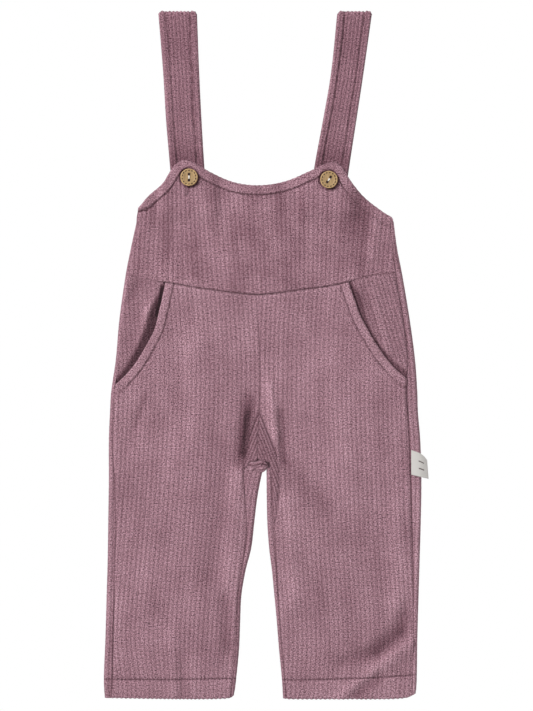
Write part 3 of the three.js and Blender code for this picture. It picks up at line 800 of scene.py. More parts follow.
def neck_stitch(x):
    """The band of the armhole on the left narrows into the side seam."""
    return NECK_STITCH - 4.6 * (1 - ramp(x, -110, -97))


def neck_band(x):
    """The armhole on the right hardly shows its band."""
    return 1 - 0.75 * ramp(x, 62, 76)


def button_shade(x, y):
    """Painted shadow round the buttons, strongest at the upper left and lower right, and painted shade in the
    open ends of their buttonholes.
    """
    total = np.zeros(np.shape(x))
    for place in BUTTONS:
        away = np.hypot(x - place["x"], y - place["y"])
        round_it = np.arctan2(y - place["y"], x - place["x"])
        strong = 0.82 + 0.15 * np.cos(2 * (round_it - 2.4))
        total = np.maximum(total, strong * bell(away - 8.0, 0.6 + 0.7 * strong))
        for spot_x, spot_y, size in place["spots"]:
            total = np.maximum(total, 0.95 * np.exp(-(((x - spot_x) ** 2 + (y - spot_y) ** 2) / size**2)))
    return total


def bib_panel():
    """Front bib, with its waist and side seams and its turned top edge."""
    xs = np.linspace(-118, 111.4, 30)
    top_x = np.linspace(-110, 108, 90)
    rows = np.linspace(70, 115, 8)
    seams = [
        (np.stack([xs, waist(xs) + SEAM_GAP / 2], 1), waist_strength),
        (line_of(SIDE["left"]["outer_seam"], rows), 0.1),
        (line_of(SIDE["right"]["outer_seam"], rows), 0.12),
    ]
    turned = [(np.stack([top_x, bib_top(top_x)], 1), neck_stitch, neck_band)]
    panel = Panel(bib_base, bib_grain, seams, turned)
    # Painted shadow round the buttons and painted shade in the buttonholes' open ends
    panel.painted_shade = button_shade
    return panel


def facing_panel(part):
    """Hip piece in a pocket's opening, with shade painted where it runs in under the front."""
    top_x = np.linspace(part["pocket"](64), part["outer_seam"](68), 8)
    seams = [
        (np.stack([top_x, waist(top_x) - SEAM_GAP / 2], 1), part["hip_waist"]),
        (line_of(part["outer_seam"], np.linspace(pocket_end(part), 69, 12)), by_level(part["seam_strength"])),
    ]
    panel = Panel(facing_base(part), lambda x, y: x + part["hip_lean"] * y, seams)
    panel.rise = part["hip_rise"]
    reach = lookup(POCKET_SHADE, "y", part["name"])

    # Painted shade: near black deep in the opening, darker on the slope that turns away from the light, and a
    # dark line along the front's edge
    def painted_shade(x, y):
        out = -inside_pocket(part, x, y)
        deep = part["depth"] * (1 - ramp(out, 2.6, 4.6)) * ramp(y, 20, 36) * (1 - ramp(y, 59, 63))
        slope = part["shade"] * (1 - ramp(out, 0.6 * reach(y), 1.15 * reach(y) + 0.6))
        return np.maximum(np.maximum(deep, slope), 0.85 * (1 - ramp(out, 0.6, 2.0)))

    panel.painted_shade = painted_shade
    # Painted light and shade of the hip folds, with painted shade over the whole hip piece
    panel.nap_and_painted_light = lambda x, y: fold_height(x, y, HIP_FOLDS) + part["hip_painted_shade"]
    return panel


def chevron_panel(part):
    """The part of a front leg at the crotch whose wales run aslant."""
    sign = part["sign"]
    low = CHEVRON_LOW if sign > 0 else CROTCH
    seams = [(line_of(centre, np.linspace(CROTCH + 3, CHEVRON_TOP, 8)), 0.3)]
    seams.append((line_of(part["chevron"], np.linspace(low, CHEVRON_TOP, 8)), 0.35))
    if sign > 0:
        seams.append((line_of(part["inner_seam"], np.linspace(low, CROTCH, 8)), 0.4))
    panel = Panel(leg_base(part), chevron_grain(part), seams)
    panel.rise = 1.5
    # Painted light and shade of the folds, painted a little darker over the whole chevron
    panel.nap_and_painted_light = lambda x, y: fold_height(x, y) - 0.6

    # Painted shade in the valleys between the chevron's wales, fading out towards its lower end
    def painted_shade(x, y):
        across = panel.grain(x, y) / WALE_PITCH
        valley = (0.5 - 0.5 * np.cos(math.tau * across)) ** 2
        strong = 0.55 + 0.2 * np.sin(2.3 * np.rint(across) + 0.21 * y)
        return strong * valley * ramp(y, low, low + 30)

    panel.painted_shade = painted_shade
    panel.lift = lambda x, y: 0.05 + 0.3 * ramp(y, low, low + 24) * ramp(np.abs(x - part["chevron"](y)), 0, 4)
    return panel


# Materials

def new_group(name, inputs, outputs):
    """An empty node group with its named sockets."""
    group = bpy.data.node_groups.new(name, "ShaderNodeTree")
    for label, kind, value in inputs:
        socket = group.interface.new_socket(label, in_out="INPUT", socket_type=kind)
        if value is not None:
            socket.default_value = value
    for label, kind in outputs:
        group.interface.new_socket(label, in_out="OUTPUT", socket_type=kind)
    return group, group.nodes.new("NodeGroupInput"), group.nodes.new("NodeGroupOutput")


def add(tree, kind, inputs=(), **settings):
    """A node with its settings, and with each input set to a value or joined to a socket."""
    made = tree.nodes.new(kind)
    for key, value in settings.items():
        setattr(made, key, value)
    for key, value in dict(inputs).items():
        socket = made.inputs[key]
        if isinstance(value, bpy.types.NodeSocket):
            tree.links.new(value, socket)
        else:
            socket.default_value = value
    return made


def maths(tree, operation, *values):
    """The result of a Math node."""
    return add(tree, "ShaderNodeMath", enumerate(values), operation=operation).outputs[0]


def times(tree, first, second):
    return maths(tree, "MULTIPLY", first, second)


def scaled(tree, value, factor, offset):
    """The value times a factor, with an offset added."""
    return maths(tree, "MULTIPLY_ADD", value, factor, offset)


def lit(tree, colour, light):
    """A colour made lighter or darker."""
    return add(tree, "ShaderNodeVectorMath", {0: colour, "Scale": light}, operation="SCALE").outputs[0]


def raised(tree, height, strength, distance):
    return add(tree, "ShaderNodeBump", {"Height": height, "Strength": strength, "Distance": distance})


def noise(tree, vector, scale, detail=2.0, roughness=0.5):
    inputs = {"Vector": vector, "Scale": scale, "Detail": detail, "Roughness": roughness}
    return add(tree, "ShaderNodeTexNoise", inputs).outputs["Fac"]


def stretched(tree, split, across, along):
    """The grain map drawn out, so a pattern on it is longer along the wales."""
    x = times(tree, split.outputs["X"], across)
    y = times(tree, split.outputs["Y"], along)
    return add(tree, "ShaderNodeCombineXYZ", {"X": x, "Y": y, "Z": 0.0}).outputs[0]


def pile_group():
    """Corduroy pile from the grain map in millimetres: X across the wales, Y along them.

    Crest is the pile and its gaps, Tufts the single tufts and Nap the way that it is brushed.
    """
    group, source, out = new_group(
        "Corduroy pile",
        [
            ("Grain", "NodeSocketVector", None),
            ("Wale pitch", "NodeSocketFloat", WALE_PITCH),
            ("Tuft length", "NodeSocketFloat", TUFT_LENGTH),
            ("Wander", "NodeSocketFloat", WANDER),
        ],
        [(label, "NodeSocketFloat") for label in ("Crest", "Tufts", "Nap", "Height")],
    )
    grain = source.outputs["Grain"]
    split = add(group, "ShaderNodeSeparateXYZ", {0: grain})
    waver = maths(group, "SUBTRACT", noise(group, stretched(group, split, 0.3, 0.11), 1.0, 1.0), 0.5)
    across = maths(group, "DIVIDE", split.outputs["X"], source.outputs["Wale pitch"])
    sway = times(group, waver, source.outputs["Wander"])
    phase = maths(group, "ADD", times(group, across, math.tau), sway)
    span = {"Value": maths(group, "COSINE", phase), "From Min": -1.0, "From Max": 0.15}
    wale = add(group, "ShaderNodeMapRange", span, interpolation_type="SMOOTHSTEP")

    rib = maths(group, "FLOOR", maths(group, "ADD", across, 0.5))
    chance = add(group, "ShaderNodeTexWhiteNoise", {"W": rib}, noise_dimensions="1D").outputs["Value"]
    drift = scaled(group, noise(group, stretched(group, split, 0.26, 0.3), 1.0, 1.0), 2.2, chance)
    rows = maths(group, "DIVIDE", split.outputs["Y"], source.outputs["Tuft length"])
    rows = maths(group, "ADD", rows, drift)
    tuft = maths(group, "COSINE", times(group, rows, math.tau))
    tuft = scaled(group, tuft, 0.5, 0.5)

    valley = maths(group, "SUBTRACT", 1.0, wale.outputs[0])
    crest = maths(group, "SUBTRACT", 1.0, times(group, valley, scaled(group, tuft, -0.4, 1.0)))
    fleck = noise(group, stretched(group, split, 1.0, 0.68), 1.25, 2.0, 0.6)
    span = {"Value": fleck, "From Min": 0.27, "From Max": 0.73}
    fleck = add(group, "ShaderNodeMapRange", span).outputs[0]
    tufts = scaled(group, tuft, 0.08, times(group, fleck, 0.92))

    brushed_nap_and_highlight = noise(group, grain, 0.03, 2.0)
    streak = noise(group, stretched(group, split, 0.09, 0.012), 1.0, 2.0)
    nap_and_painted_light = scaled(group, streak, 0.45, times(group, brushed_nap_and_highlight, 0.55))
    height = scaled(group, tufts, 0.7, times(group, crest, 0.25))
    for label, socket in (("Crest", crest), ("Tufts", tufts), ("Nap", nap_and_painted_light), ("Height", height)):
        group.links.new(socket, out.inputs[label])
    return group


def base_material(name):
    """A new material, its node tree and its shader."""
    material = bpy.data.materials.new(name)
    material.use_nodes = True
    tree = material.node_tree
    shader = next(n for n in tree.nodes if n.type == "BSDF_PRINCIPLED")
    return material, tree, shader


def cover(tree, shader, colour, bump, **values):
    """Gives the shader its colour, its bump and its other values."""
    tree.links.new(colour, shader.inputs["Base Color"])
    tree.links.new(bump.outputs[0], shader.inputs["Normal"])
    for label, value in values.items():
        shader.inputs[label.replace("_", " ")].default_value = value


def corduroy(name, crest, valley, pitch=WALE_PITCH, wander=WANDER, fleck=2.65, brush=1.15):
    """Corduroy with shade, highlights and the light of the folds painted in from the colour attribute: darker
    in creases and hollows, paler on turned edges.

    wander is how far the wales sway, fleck how strongly the tufts vary, and brush how strongly the nap does.
    """
    material, tree, shader = base_material(name)
    grain = add(tree, "ShaderNodeUVMap", uv_map="Grain")
    shade_and_finish = add(tree, "ShaderNodeAttribute", attribute_name="Finish")
    worked = add(tree, "ShaderNodeSeparateColor", {0: shade_and_finish.outputs["Color"]})
    painted_shade_amount, pale, pressed = worked.outputs
    pile = add(tree, "ShaderNodeGroup", node_tree=bpy.data.node_groups["Corduroy pile"])
    pile.inputs["Wale pitch"].default_value = pitch
    pile.inputs["Wander"].default_value = wander
    tree.links.new(grain.outputs["UV"], pile.inputs["Grain"])
    level = times(tree, maths(tree, "SUBTRACT", 0.85, pile.outputs["Crest"]), pressed)
    crested = maths(tree, "ADD", pile.outputs["Crest"], level)
    blend = add(tree, "ShaderNodeMix", {0: crested, 6: (*valley, 1), 7: (*crest, 1)}, data_type="RGBA")
    light = scaled(tree, pile.outputs["Tufts"], fleck, 1 - 0.5 * fleck)
    light = times(tree, light, scaled(tree, pile.outputs["Nap"], brush, 1 - 0.5 * brush))
    # Painted light and shade of the folds, then painted shade of creases and hollows, then painted highlight
    # of edges
    light = times(tree, light, scaled(tree, shade_and_finish.outputs["Alpha"], 1.4, 0.3))
    light = times(tree, light, scaled(tree, painted_shade_amount, -0.92, 1.0))
    light = times(tree, light, scaled(tree, pale, 0.16, 1.0))
    fade = maths(tree, "MINIMUM", times(tree, light, 1.7), 1.0)
    depth = times(tree, maths(tree, "SUBTRACT", 1.0, light), fade)
    parts = {0: lit(tree, blend.outputs[2], light), 1: lit(tree, SHADOW_WARMTH, depth)}
    tint = add(tree, "ShaderNodeVectorMath", parts, operation="ADD")
    bump = raised(tree, pile.outputs["Height"], 1.0, 0.0005)
    sheen = {"Sheen_Weight": 0.25, "Sheen_Roughness": 0.5, "Sheen_Tint": (0.95, 0.78, 0.83, 1)}
    cover(tree, shader, tint.outputs[0], bump, Roughness=0.95, Specular_IOR_Level=0.15, **sheen)
    return material


def plain(name, colour, roughness, scale, strength):
    """A surface with a fine uneven grain in object space."""
    material, tree, shader = base_material(name)
    where = add(tree, "ShaderNodeTexCoord")
    grain = noise(tree, where.outputs["Object"], scale, 3.0)
    tint = lit(tree, colour, scaled(tree, grain, 0.4, 0.8))
    bump = raised(tree, grain, strength, 0.0002)
    cover(tree, shader, tint, bump, Roughness=roughness)
    return material


def wood_material():
    """Pale turned wood with fine streaks, with painted shade in the holes, burnt dashes and a paler rim from
    the colour attribute.
    """
    material, tree, shader = base_material("turned_wood")
    where = add(tree, "ShaderNodeTexCoord")
    spread = {"Vector": where.outputs["Object"], "Scale": (900, 160, 400), "Rotation": (0, 0, 0.35)}
    along = add(tree, "ShaderNodeMapping", spread)
    streaks = noise(tree, along.outputs[0], 1.0, 4.0, 0.6)
    colours = {0: streaks, 6: (0.13, 0.075, 0.024, 1), 7: (0.56, 0.37, 0.18, 1)}
    blend = add(tree, "ShaderNodeMix", colours, data_type="RGBA")
    bump = raised(tree, streaks, 0.3, 0.0002)
    shade_and_finish = add(tree, "ShaderNodeAttribute", attribute_name="Finish")
    dark, pale, _ = add(tree, "ShaderNodeSeparateColor", {0: shade_and_finish.outputs["Color"]}).outputs
    light = times(tree, scaled(tree, dark, -0.93, 1.0), scaled(tree, pale, 0.45, 1.0))
    tint = lit(tree, blend.outputs[2], light)
    cover(tree, shader, tint, bump, Roughness=0.5, Specular_IOR_Level=0.4)
    return material


def tape_material():
    """Off-white woven tape with two plain woven bars."""
    material, tree, shader = base_material("woven_tape")
    grain = add(tree, "ShaderNodeUVMap", uv_map="Grain")
    split = add(tree, "ShaderNodeSeparateXYZ", {0: grain.outputs["UV"]})
    thread = math.tau / 0.45
    warp, weft = (maths(tree, "SINE", times(tree, split.outputs[axis], thread)) for axis in ("X", "Y"))
    weave = scaled(tree, times(tree, warp, weft), 0.5, 0.5)

    def close_to(axis, middle, reach):
        away = maths(tree, "ABSOLUTE", maths(tree, "SUBTRACT", split.outputs[axis], middle))
        return maths(tree, "LESS_THAN", away, reach)

    bars = maths(tree, "ADD", close_to("Y", -3.2, 0.55), close_to("Y", 3.2, 0.55))
    cloth = lit(tree, (0.60, 0.575, 0.55), scaled(tree, weave, 0.16, 0.88))
    colours = {0: times(tree, bars, close_to("X", 9.0, 2.4)), 6: cloth, 7: (0.12, 0.09, 0.09, 1)}
    blend = add(tree, "ShaderNodeMix", colours, data_type="RGBA")
    bump = raised(tree, weave, 0.5, 0.00015)
    cover(tree, shader, blend.outputs[2], bump, Roughness=0.85)
    return material


def material(name):
    """Gets a material by name, and makes it the first time."""
    if name not in bpy.data.materials:
        look = bpy.context.scene.dungarees
        ground = look.valley_colour
        if "Corduroy pile" not in bpy.data.node_groups:
            pile_group()
        makers = {
            "corduroy_legs": lambda: corduroy(name, look.crest_colour, look.leg_valley_colour),
            "corduroy_bib": lambda: corduroy(name, look.bib_crest_colour, ground, brush=2.4),
            "corduroy_straps": lambda: corduroy(name, look.strap_crest_colour, ground, STRAP_PITCH, 3.2, 2.8),
            "sewing_thread": lambda: plain(name, look.thread_colour, 0.8, 1500, 0.4),
            "buttonhole_thread": lambda: plain(name, (0.15, 0.075, 0.094), 0.9, 1500, 0.4),
            "button_thread": lambda: plain(name, (0.78, 0.74, 0.68), 0.8, 1500, 0.4),
            "turned_wood": wood_material,
            "woven_tape": tape_material,
        }
        makers[name]()
    return bpy.data.materials[name]


# What all the colour settings share
COLOUR = {"size": 3, "min": 0, "max": 1}


class DungareesSettings(bpy.types.PropertyGroup):
    """Colours of the cloth and power of the lights."""

    crest_colour: FloatVectorProperty(
        name="Leg pile",
        description="Colour of the wales on the legs",
        default=(0.322, 0.179, 0.217),
        subtype="COLOR",
        **COLOUR,
    )
    bib_crest_colour: FloatVectorProperty(
        name="Bib pile",
        description="Colour of the wales on the bib",
        default=(0.298, 0.161, 0.197),
        subtype="COLOR",
        **COLOUR,
    )
    strap_crest_colour: FloatVectorProperty(
        name="Strap pile",
        description="Colour of the wales on the straps",
        default=(0.255, 0.130, 0.162),
        subtype="COLOR",
        **COLOUR,
    )
    valley_colour: FloatVectorProperty(
        name="Ground cloth",
        description="Colour between the wales",
        default=(0.218, 0.109, 0.138),
        subtype="COLOR",
        **COLOUR,
    )
    leg_valley_colour: FloatVectorProperty(
        name="Leg ground cloth",
        description="Colour between the wales on the legs",
        default=(0.250, 0.130, 0.161),
        subtype="COLOR",
        **COLOUR,
    )
    thread_colour: FloatVectorProperty(
        name="Sewing thread",
        description="Colour of the topstitching",
        default=(0.13, 0.062, 0.08),
        subtype="COLOR",
        **COLOUR,
    )
    key_light: FloatProperty(
        name="Key light",
        description="Power of the main light",
        unit="POWER",
        default=126.0,
        min=0,
    )
    fill_light: FloatProperty(
        name="Fill light",
        description="Power of the overhead light",
        unit="POWER",
        default=9.0,
        min=0,
    )
    surround: FloatProperty(
        name="Surround",
        description="Brightness of the white surroundings",
        default=0.38,
        min=0,
    )


class DUNGAREES_OT_bib(bpy.types.Operator):
    """Front bib with its two button tabs"""

    bl_idname = "dungarees.bib"
    bl_label = "Bib"

    def execute(self, context):
        panel = bib_panel()
        left, right = SIDE["left"], SIDE["right"]
        wider = {}
        for part in SIDE.values():
            x = part["outer_seam"](BACK_SHOULDER)
            start = float((BACK_SHOULDER - waist(x)) / (bib_top(x) - waist(x)))
            wider[part["name"]] = (start, start + 0.008)

        def outline(u, t):
            y = np.full(np.shape(u), 110.0)
            for _ in range(40):
                out_left = ramp(t, *wider["left"]) * (2.9 - 1.3 * ramp(y, 116, 127))
                out_right = ramp(t, *wider["right"]) * (2.4 - 1.2 * ramp(y, 116, 119))
                low = left["outer_seam"](y) + SEAM_GAP - out_left
                high = right["outer_seam"](y) - SEAM_GAP + out_right
                x = low + u * (high - low)
                foot = waist(x) + SEAM_GAP / 2
                y = 0.5 * y + 0.5 * (foot + t * (bib_top(x) - foot))
            scallop = 0.1 * np.cos(math.tau * panel.grain(x, y) / WALE_PITCH)
            return x, y + scallop * ramp(t, 0.97, 1)

        columns = graded((0, 0.012, 0.003), (0.012, 0.988, 0.0031), (0.988, 1, 0.003))
        foot_and_middle = (0, 0.03, 0.005), (0.03, 0.83, 0.018)
        top = (0.83, 0.94, 0.0052), (0.94, 0.98, 0.009), (0.98, 1, 0.005)
        corners = (*wider["left"], 0.002), (*wider["right"], 0.002)
        levels = graded(*foot_and_middle, *top, *corners)
        sheet = panel_sheet(panel, columns, levels, outline)
        bib = piece("front_bib", [sheet], material("corduroy_bib"), "corduroy", ["front_bib"])
        return {"FINISHED"}


def front_leg(part):
    """A front leg from its panel and its side of the chevron."""
    sign = part["sign"]
    panel = leg_panel(part)
    outer, inner, _ = leg_edges(part)

    def outline(u, t):
        y = HEM + t * (LEG_TOP - HEM)
        for _ in range(12):
            x = outer(y) + u * (inner(y) - outer(y))
            y = hem_edge(x) + t * (waist(x) - SEAM_GAP / 2 - hem_edge(x))
        scallop = 0.3 * np.cos(math.tau * panel.grain(x, y) / WALE_PITCH)
        return x, y - scallop * (1 - ramp(y, HEM, HEM + 3))

    columns = graded((0, 0.01, 0.0025), (0.01, 0.99, 0.0054), (0.99, 1, 0.0025))
    hem_rows = (HEM, HEM + 2, 0.5), (HEM + 2, STITCHED[0], 2), (*STITCHED, 0.5)
    rows = graded(*hem_rows, (STITCHED[1], LEG_TOP - 10, 2.3), (LEG_TOP - 10, LEG_TOP, 0.7))
    levels = (rows - HEM) / (LEG_TOP - HEM)
    sheets = [panel_sheet(panel, columns, levels, outline)]
    point = chevron_panel(part)
    low = CHEVRON_LOW + 0.5 if sign > 0 else CROTCH + 0.4

    def point_outline(u, t):
        y = low + t * (CHEVRON_TOP - low)
        seam = part["inner_seam"](y) + sign * SEAM_GAP
        near = np.where(y > CROTCH + 0.4, centre(y) + sign * SEAM_GAP / 2, seam)
        notch = (1 - ramp(y, -92.6, -89.6)) * (y > CROTCH + 0.4)
        near = near + sign * part["notch"] * notch
        far = part["chevron"](y) + sign * 0.9
        far = np.where(sign * (far - near) < 0.4, near + sign * 0.4, far)
        return near + u * (far - near), y

    sheets.append(panel_sheet(point, graded((0, 1, 0.04)), graded((0, 1, 0.017)), point_outline))
    name = "front_leg_" + part["name"]
    leg = piece(name, sheets, material("corduroy_legs"), "corduroy", [name])


class DUNGAREES_OT_front_legs(bpy.types.Operator):
    """Two front trouser panels with the chevron at the crotch"""

    bl_idname = "dungarees.front_legs"
    bl_label = "Front legs"

    def execute(self, context):
        for part in SIDE.values():
            front_leg(part)
        return {"FINISHED"}


def hip_piece(part):
    """Hip piece that shows in one of the pockets' openings."""
    sign = part["sign"]
    panel = facing_panel(part)

    def outline(u, t):
        y = HIP_LOW + t * (HIP_TOP - HIP_LOW)
        for _ in range(8):
            tucked = 7 * (1 - ramp(y, HIP_LOW, HIP_LOW + 11))
            outer = part["outer_seam"](y) - sign * (SEAM_GAP + tucked)
            inner = part["pocket"](np.clip(y, -10, HIP_TOP)) - sign * HIP_UNDER
            x = outer + u * (inner - outer)
            y = HIP_LOW + t * (waist(x) - SEAM_GAP / 2 - HIP_LOW)
        return x, y

    levels = graded((0, 0.97, 0.014), (0.97, 1, 0.006))
    sheet = panel_sheet(panel, graded((0, 1, 0.014)), levels, outline)
    name = "pocket_facing_" + part["name"]
    hip = piece(name, [sheet], material("corduroy_legs"), "corduroy", [name])


class DUNGAREES_OT_pockets(bpy.types.Operator):
    """Hip pieces that show in the slanted pocket openings"""

    bl_idname = "dungarees.pockets"
    bl_label = "Hip pieces"

    def execute(self, context):
        for part in SIDE.values():
            hip_piece(part)
        return {"FINISHED"}


def roll_section(kind, f, edge, seam, direction):
    """The rolled edge from the seam (kind 0) down to the surface (kind 1).

    Gives X, Z, the outward normal, the place across the cloth, how far round it is, and how far inwards.
    """
    radius = EDGE_TOP / 2
    start = edge + direction * radius
    lip = np.maximum(direction * (seam - start), 0.05)
    angle = math.pi * f
    on_lip = kind == 0
    x = np.where(on_lip, start + direction * lip * (1 - f), start - direction * radius * np.sin(angle))
    z = np.where(on_lip, EDGE_TOP, radius + radius * np.cos(angle))
    normal_x = np.where(on_lip, 0.0, -direction * np.sin(angle))
    normal_z = np.where(on_lip, 1.0, np.cos(angle))
    run = np.where(on_lip, math.pi * radius + lip * (1 - f), math.pi * radius * (1 - f))
    return x, z, normal_x, normal_z, start - direction * run, np.where(on_lip, 0.0, f), direction * (seam - x)


def back_sheet(rows, left, right, strength, wide, brushed_nap_and_highlight=0.0):
    """Back cloth with a rolled or flat edge at each side.

    left and right are functions of Y that give (edge, seam) for a rolled edge or (edge, None) for a flat one.
    strength is a function of Y for each side's seam. The wales spread over the given width, and the last
    value paints a highlight on the right roll, where it turns away from the light.
    """
    lip = [(0, f) for f in np.linspace(0, 1, 14)[:-1]]
    arc = [(1, f) for f in np.linspace(0, 1, 16)]
    start = [(0, *s) for s in lip + arc] if left(0.0)[1] is not None else [(1, 0, 0.0)]
    end = [(2, *s) for s in reversed(lip + arc)] if right(0.0)[1] is not None else [(1, 0, 1.0)]
    middle = [(1, 0, f) for f in np.linspace(0, 1, 42)[1:-1]]
    stations = np.array([*start, *middle, *end], float)

    def place(column, y, under):
        zone, kind, f = stations[column.astype(int)].T
        left_edge, left_seam = left(y)
        right_edge, right_seam = right(y)
        radius = EDGE_TOP / 2
        low = left_edge + (radius if left_seam is not None else 0)
        high = right_edge - (radius if right_seam is not None else 0)
        x = low + (high - low) * f
        z = np.zeros(len(x))
        normal_x, normal_z, across = np.zeros(len(x)), -np.ones(len(x)), (f - 0.5) * wide
        turn, inward = np.ones(len(x)), np.full(len(x), 9.0)
        for which, seam, edge, direction in ((0, left_seam, left_edge, 1), (2, right_seam, right_edge, -1)):
            if seam is None:
                continue
            values = list(roll_section(kind, f, edge, seam, direction))
            values[4] = values[4] - edge - direction * (radius + wide / 2)
            here = zone == which
            targets = (x, z, normal_x, normal_z, across, turn, inward)
            for target, value in zip(targets, values):
                target[here] = value[here]
        shown = 1 - ramp(turn, 0.5, 0.72)
        rib = np.rint(across / WALE_PITCH)
        crest = wave(across / WALE_PITCH, 0.62)
        relief = WALE_RISE * crest * (0.92 + 0.1 * np.sin(0.83 * y + 2.1 * rib)) * shown
        strong = np.where(zone == 0, strength[0](y), strength[1](y))
        # Painted highlight on the right roll below the crotch, where it turns away from the light
        nap_and_painted_light = 0.5 + (zone == 2) * brushed_nap_and_highlight * (1 - ramp(y, -130, -85))
        # Painted shade at the seam, partly a darker seam line
        at_seam = bell(inward, 0.9) * shown
        crease_and_shade = at_seam * strong
        relief = relief * (1 - 0.4 * at_seam) - 1.2 * strong * at_seam
        reach = np.where(under, -CLOTH + 0.3 * at_seam, relief)
        points = np.stack([x + normal_x * reach, y, z + normal_z * reach], 1)
        points[:, 1] += (hem_edge(x) - HEM) * (1 - ramp(y, HEM, HEM + 9))
        groove = shown * bell(y - hem_line(x), 0.7)
        points[:, 2] -= np.where(under, 0, 0.8 * groove)
        # Painted shade in the seam and in the hem's stitch groove; near the seam the cloth is also painted
        # paler
        shade_and_finish = shade_and_finish_of(x, np.maximum(crease_and_shade, 0.7 * groove), 0.5 * at_seam, 0, nap_and_painted_light)
        return points, np.stack([across, y], 1), shade_and_finish

    return cloth_sheet(np.arange(len(stations)), rows, place)


def back_leg(part):
    """A back leg, from one sheet below the crotch and one above it. The left one carries the small roll."""
    sign = part["sign"]

    def outer(y):
        return part["outer"](y), part["outer_seam"](y)

    def inner(y):
        return part["inner"](y), part["inner_seam"](y)

    def flat(y):
        y = np.asarray(y, float)
        seam = centre(y) + BACK_SHIFT + sign * SEAM_GAP / 2
        return (seam if sign < 0 else np.where(y > CROTCH + 1, seam, part["inner"](CROTCH) + 1)), None

    hem_rows = (HEM, HEM + 2, 0.7), (HEM + 2, BACK_STITCHED[0], 2), (*BACK_STITCHED, 0.7)
    low = graded(*hem_rows, (BACK_STITCHED[1], CROTCH, 2.6))
    high = graded((CROTCH, BACK_WAIST + BACK_SHIFT - SEAM_GAP / 2, 3.2))
    pairs = [(low, outer, inner), (high, outer, flat)]
    turn = 1 if sign < 0 else -1
    sides = (part["seam_strength"], inseam_strength)[::turn]
    sheets = [
        back_sheet(rows, *(a, b)[::turn], sides, LEG_WALES, part["brushed_nap_and_highlight"]) for rows, a, b in pairs
    ]
    if sign < 0:
        sheets.append(crotch_tuck())
    name = "back_leg_" + part["name"]
    leg = piece(name, sheets, material("corduroy_legs"), "corduroy", [name])
    leg.data.set_sharp_from_angle(angle=math.radians(SHARP))


def crotch_tuck():
    """Small roll of cloth where the seams of the four leg panels meet."""
    bm = bmesh.new()
    bmesh.ops.create_uvsphere(bm, u_segments=48, v_segments=32, radius=1)
    bmesh.ops.rotate(bm, verts=bm.verts[:], matrix=Matrix.Rotation(math.pi / 2, 3, "Y"))
    mesh = mesh_of("tuck", bm)
    x, y, z = points_of(mesh).T
    swell = 1 + 0.16 * np.cos(5.6 * x - 2.6)
    line = 0.34 + 0.14 * np.sin(5.2 * x + 0.4)
    fork = -0.1 + 0.9 * (x - 0.1)
    crease_and_shade = 0.34 * bell(y - line, 0.13) * (z > 0)
    crease_and_shade += 0.2 * bell(y - fork, 0.12) * (z > 0) * (y < line)
    rib = 0.06 * np.cos(9 * np.arctan2(z, y) + 2.0 * x)
    size = swell - crease_and_shade + rib
    angle = math.radians(TUCK_TURN)
    along, aside = TUCK_HALF[0] * x, TUCK_HALF[1] * y * size
    turned_x = along * math.cos(angle) - aside * math.sin(angle)
    turned_y = along * math.sin(angle) + aside * math.cos(angle)
    points = np.stack([turned_x, turned_y, TUCK_HALF[2] * z * size], 1) + TUCK_MIDDLE
    mesh.vertices.foreach_set("co", (points * MM).ravel())
    # Painted shade in the roll's creases and a painted highlight on its top
    return mesh, np.stack([6 * np.arctan2(z, y), 8 * x], 1), shade_and_finish_of(x, 2.9 * crease_and_shade, 0.6 * (z > 0.3))


def back_bib():
    """The upper back, rolled at its sides up to the shoulders and flat above them."""
    left, right = SIDE["left"], SIDE["right"]
    sheets = [
        back_sheet(
            graded((BACK_WAIST + BACK_SHIFT + SEAM_GAP / 2, BACK_SHOULDER, 2.2)),
            lambda y: (left["outer"](y), left["outer_seam"](y)),
            lambda y: (right["outer"](y), right["outer_seam"](y)),
            (left["seam_strength"], right["seam_strength"]),
            BIB_WALES,
        )
    ]
    yoke_left = lookup({"y": BACK_YOKE["y"][:4], "x": BACK_YOKE["x"][:4]}, "y", "x")
    yoke_right = lookup({"y": BACK_YOKE["y"][:3:-1], "x": BACK_YOKE["x"][:3:-1]}, "y", "x")

    def place(u, y, under):
        x = yoke_left(y) + u * (yoke_right(y) - yoke_left(y))
        return np.stack([x, y, np.where(under, 0, CLOTH)], 1), np.stack([x, y], 1), shade_and_finish_of(x)

    sheets.append(cloth_sheet(graded((0, 1, 0.02)), graded((BACK_SHOULDER, BACK_TOP, 2.5)), place))
    back = piece("back_bib", sheets, material("corduroy_bib"), "corduroy", ["back_bib"])
    back.data.set_sharp_from_angle(angle=math.radians(SHARP))


class DUNGAREES_OT_back_panels(bpy.types.Operator):
    """Upper back and two back trouser panels, rolled round to the front"""

    bl_idname = "dungarees.back_panels"
    bl_label = "Back panels"

    def execute(self, context):
        back_bib()
        for part in SIDE.values():
            back_leg(part)
        return {"FINISHED"}


def strap_path():
    """Stations along a strap, from the back over the fold to the free end: Y, Z, outward normal, length."""
    bend = STRAP_FRONT_TOP / 2
    turn = STRAP_TOP - bend
    back = np.linspace(BACK_TOP + GAP, turn, 50)[:-1]
    angle = np.linspace(0, math.pi, 14)
    front = np.linspace(turn, STRAP_END, 66)[1:]
    spine = bend - STRAP / 2
    y = np.concatenate([back, turn + spine * np.sin(angle), front])
    flat_z = back * 0 + STRAP / 2, front * 0 + STRAP_FRONT_TOP - STRAP / 2
    z = np.concatenate([flat_z[0], bend - spine * np.cos(angle), flat_z[1]])
    out_y = np.concatenate([back * 0, np.sin(angle), front * 0])
    out_z = np.concatenate([back * 0 - 1, -np.cos(angle), front * 0 + 1])
    run = np.concatenate([[0], np.cumsum(np.hypot(np.diff(y), np.diff(z)))])
    return y, z, out_y, out_z, run


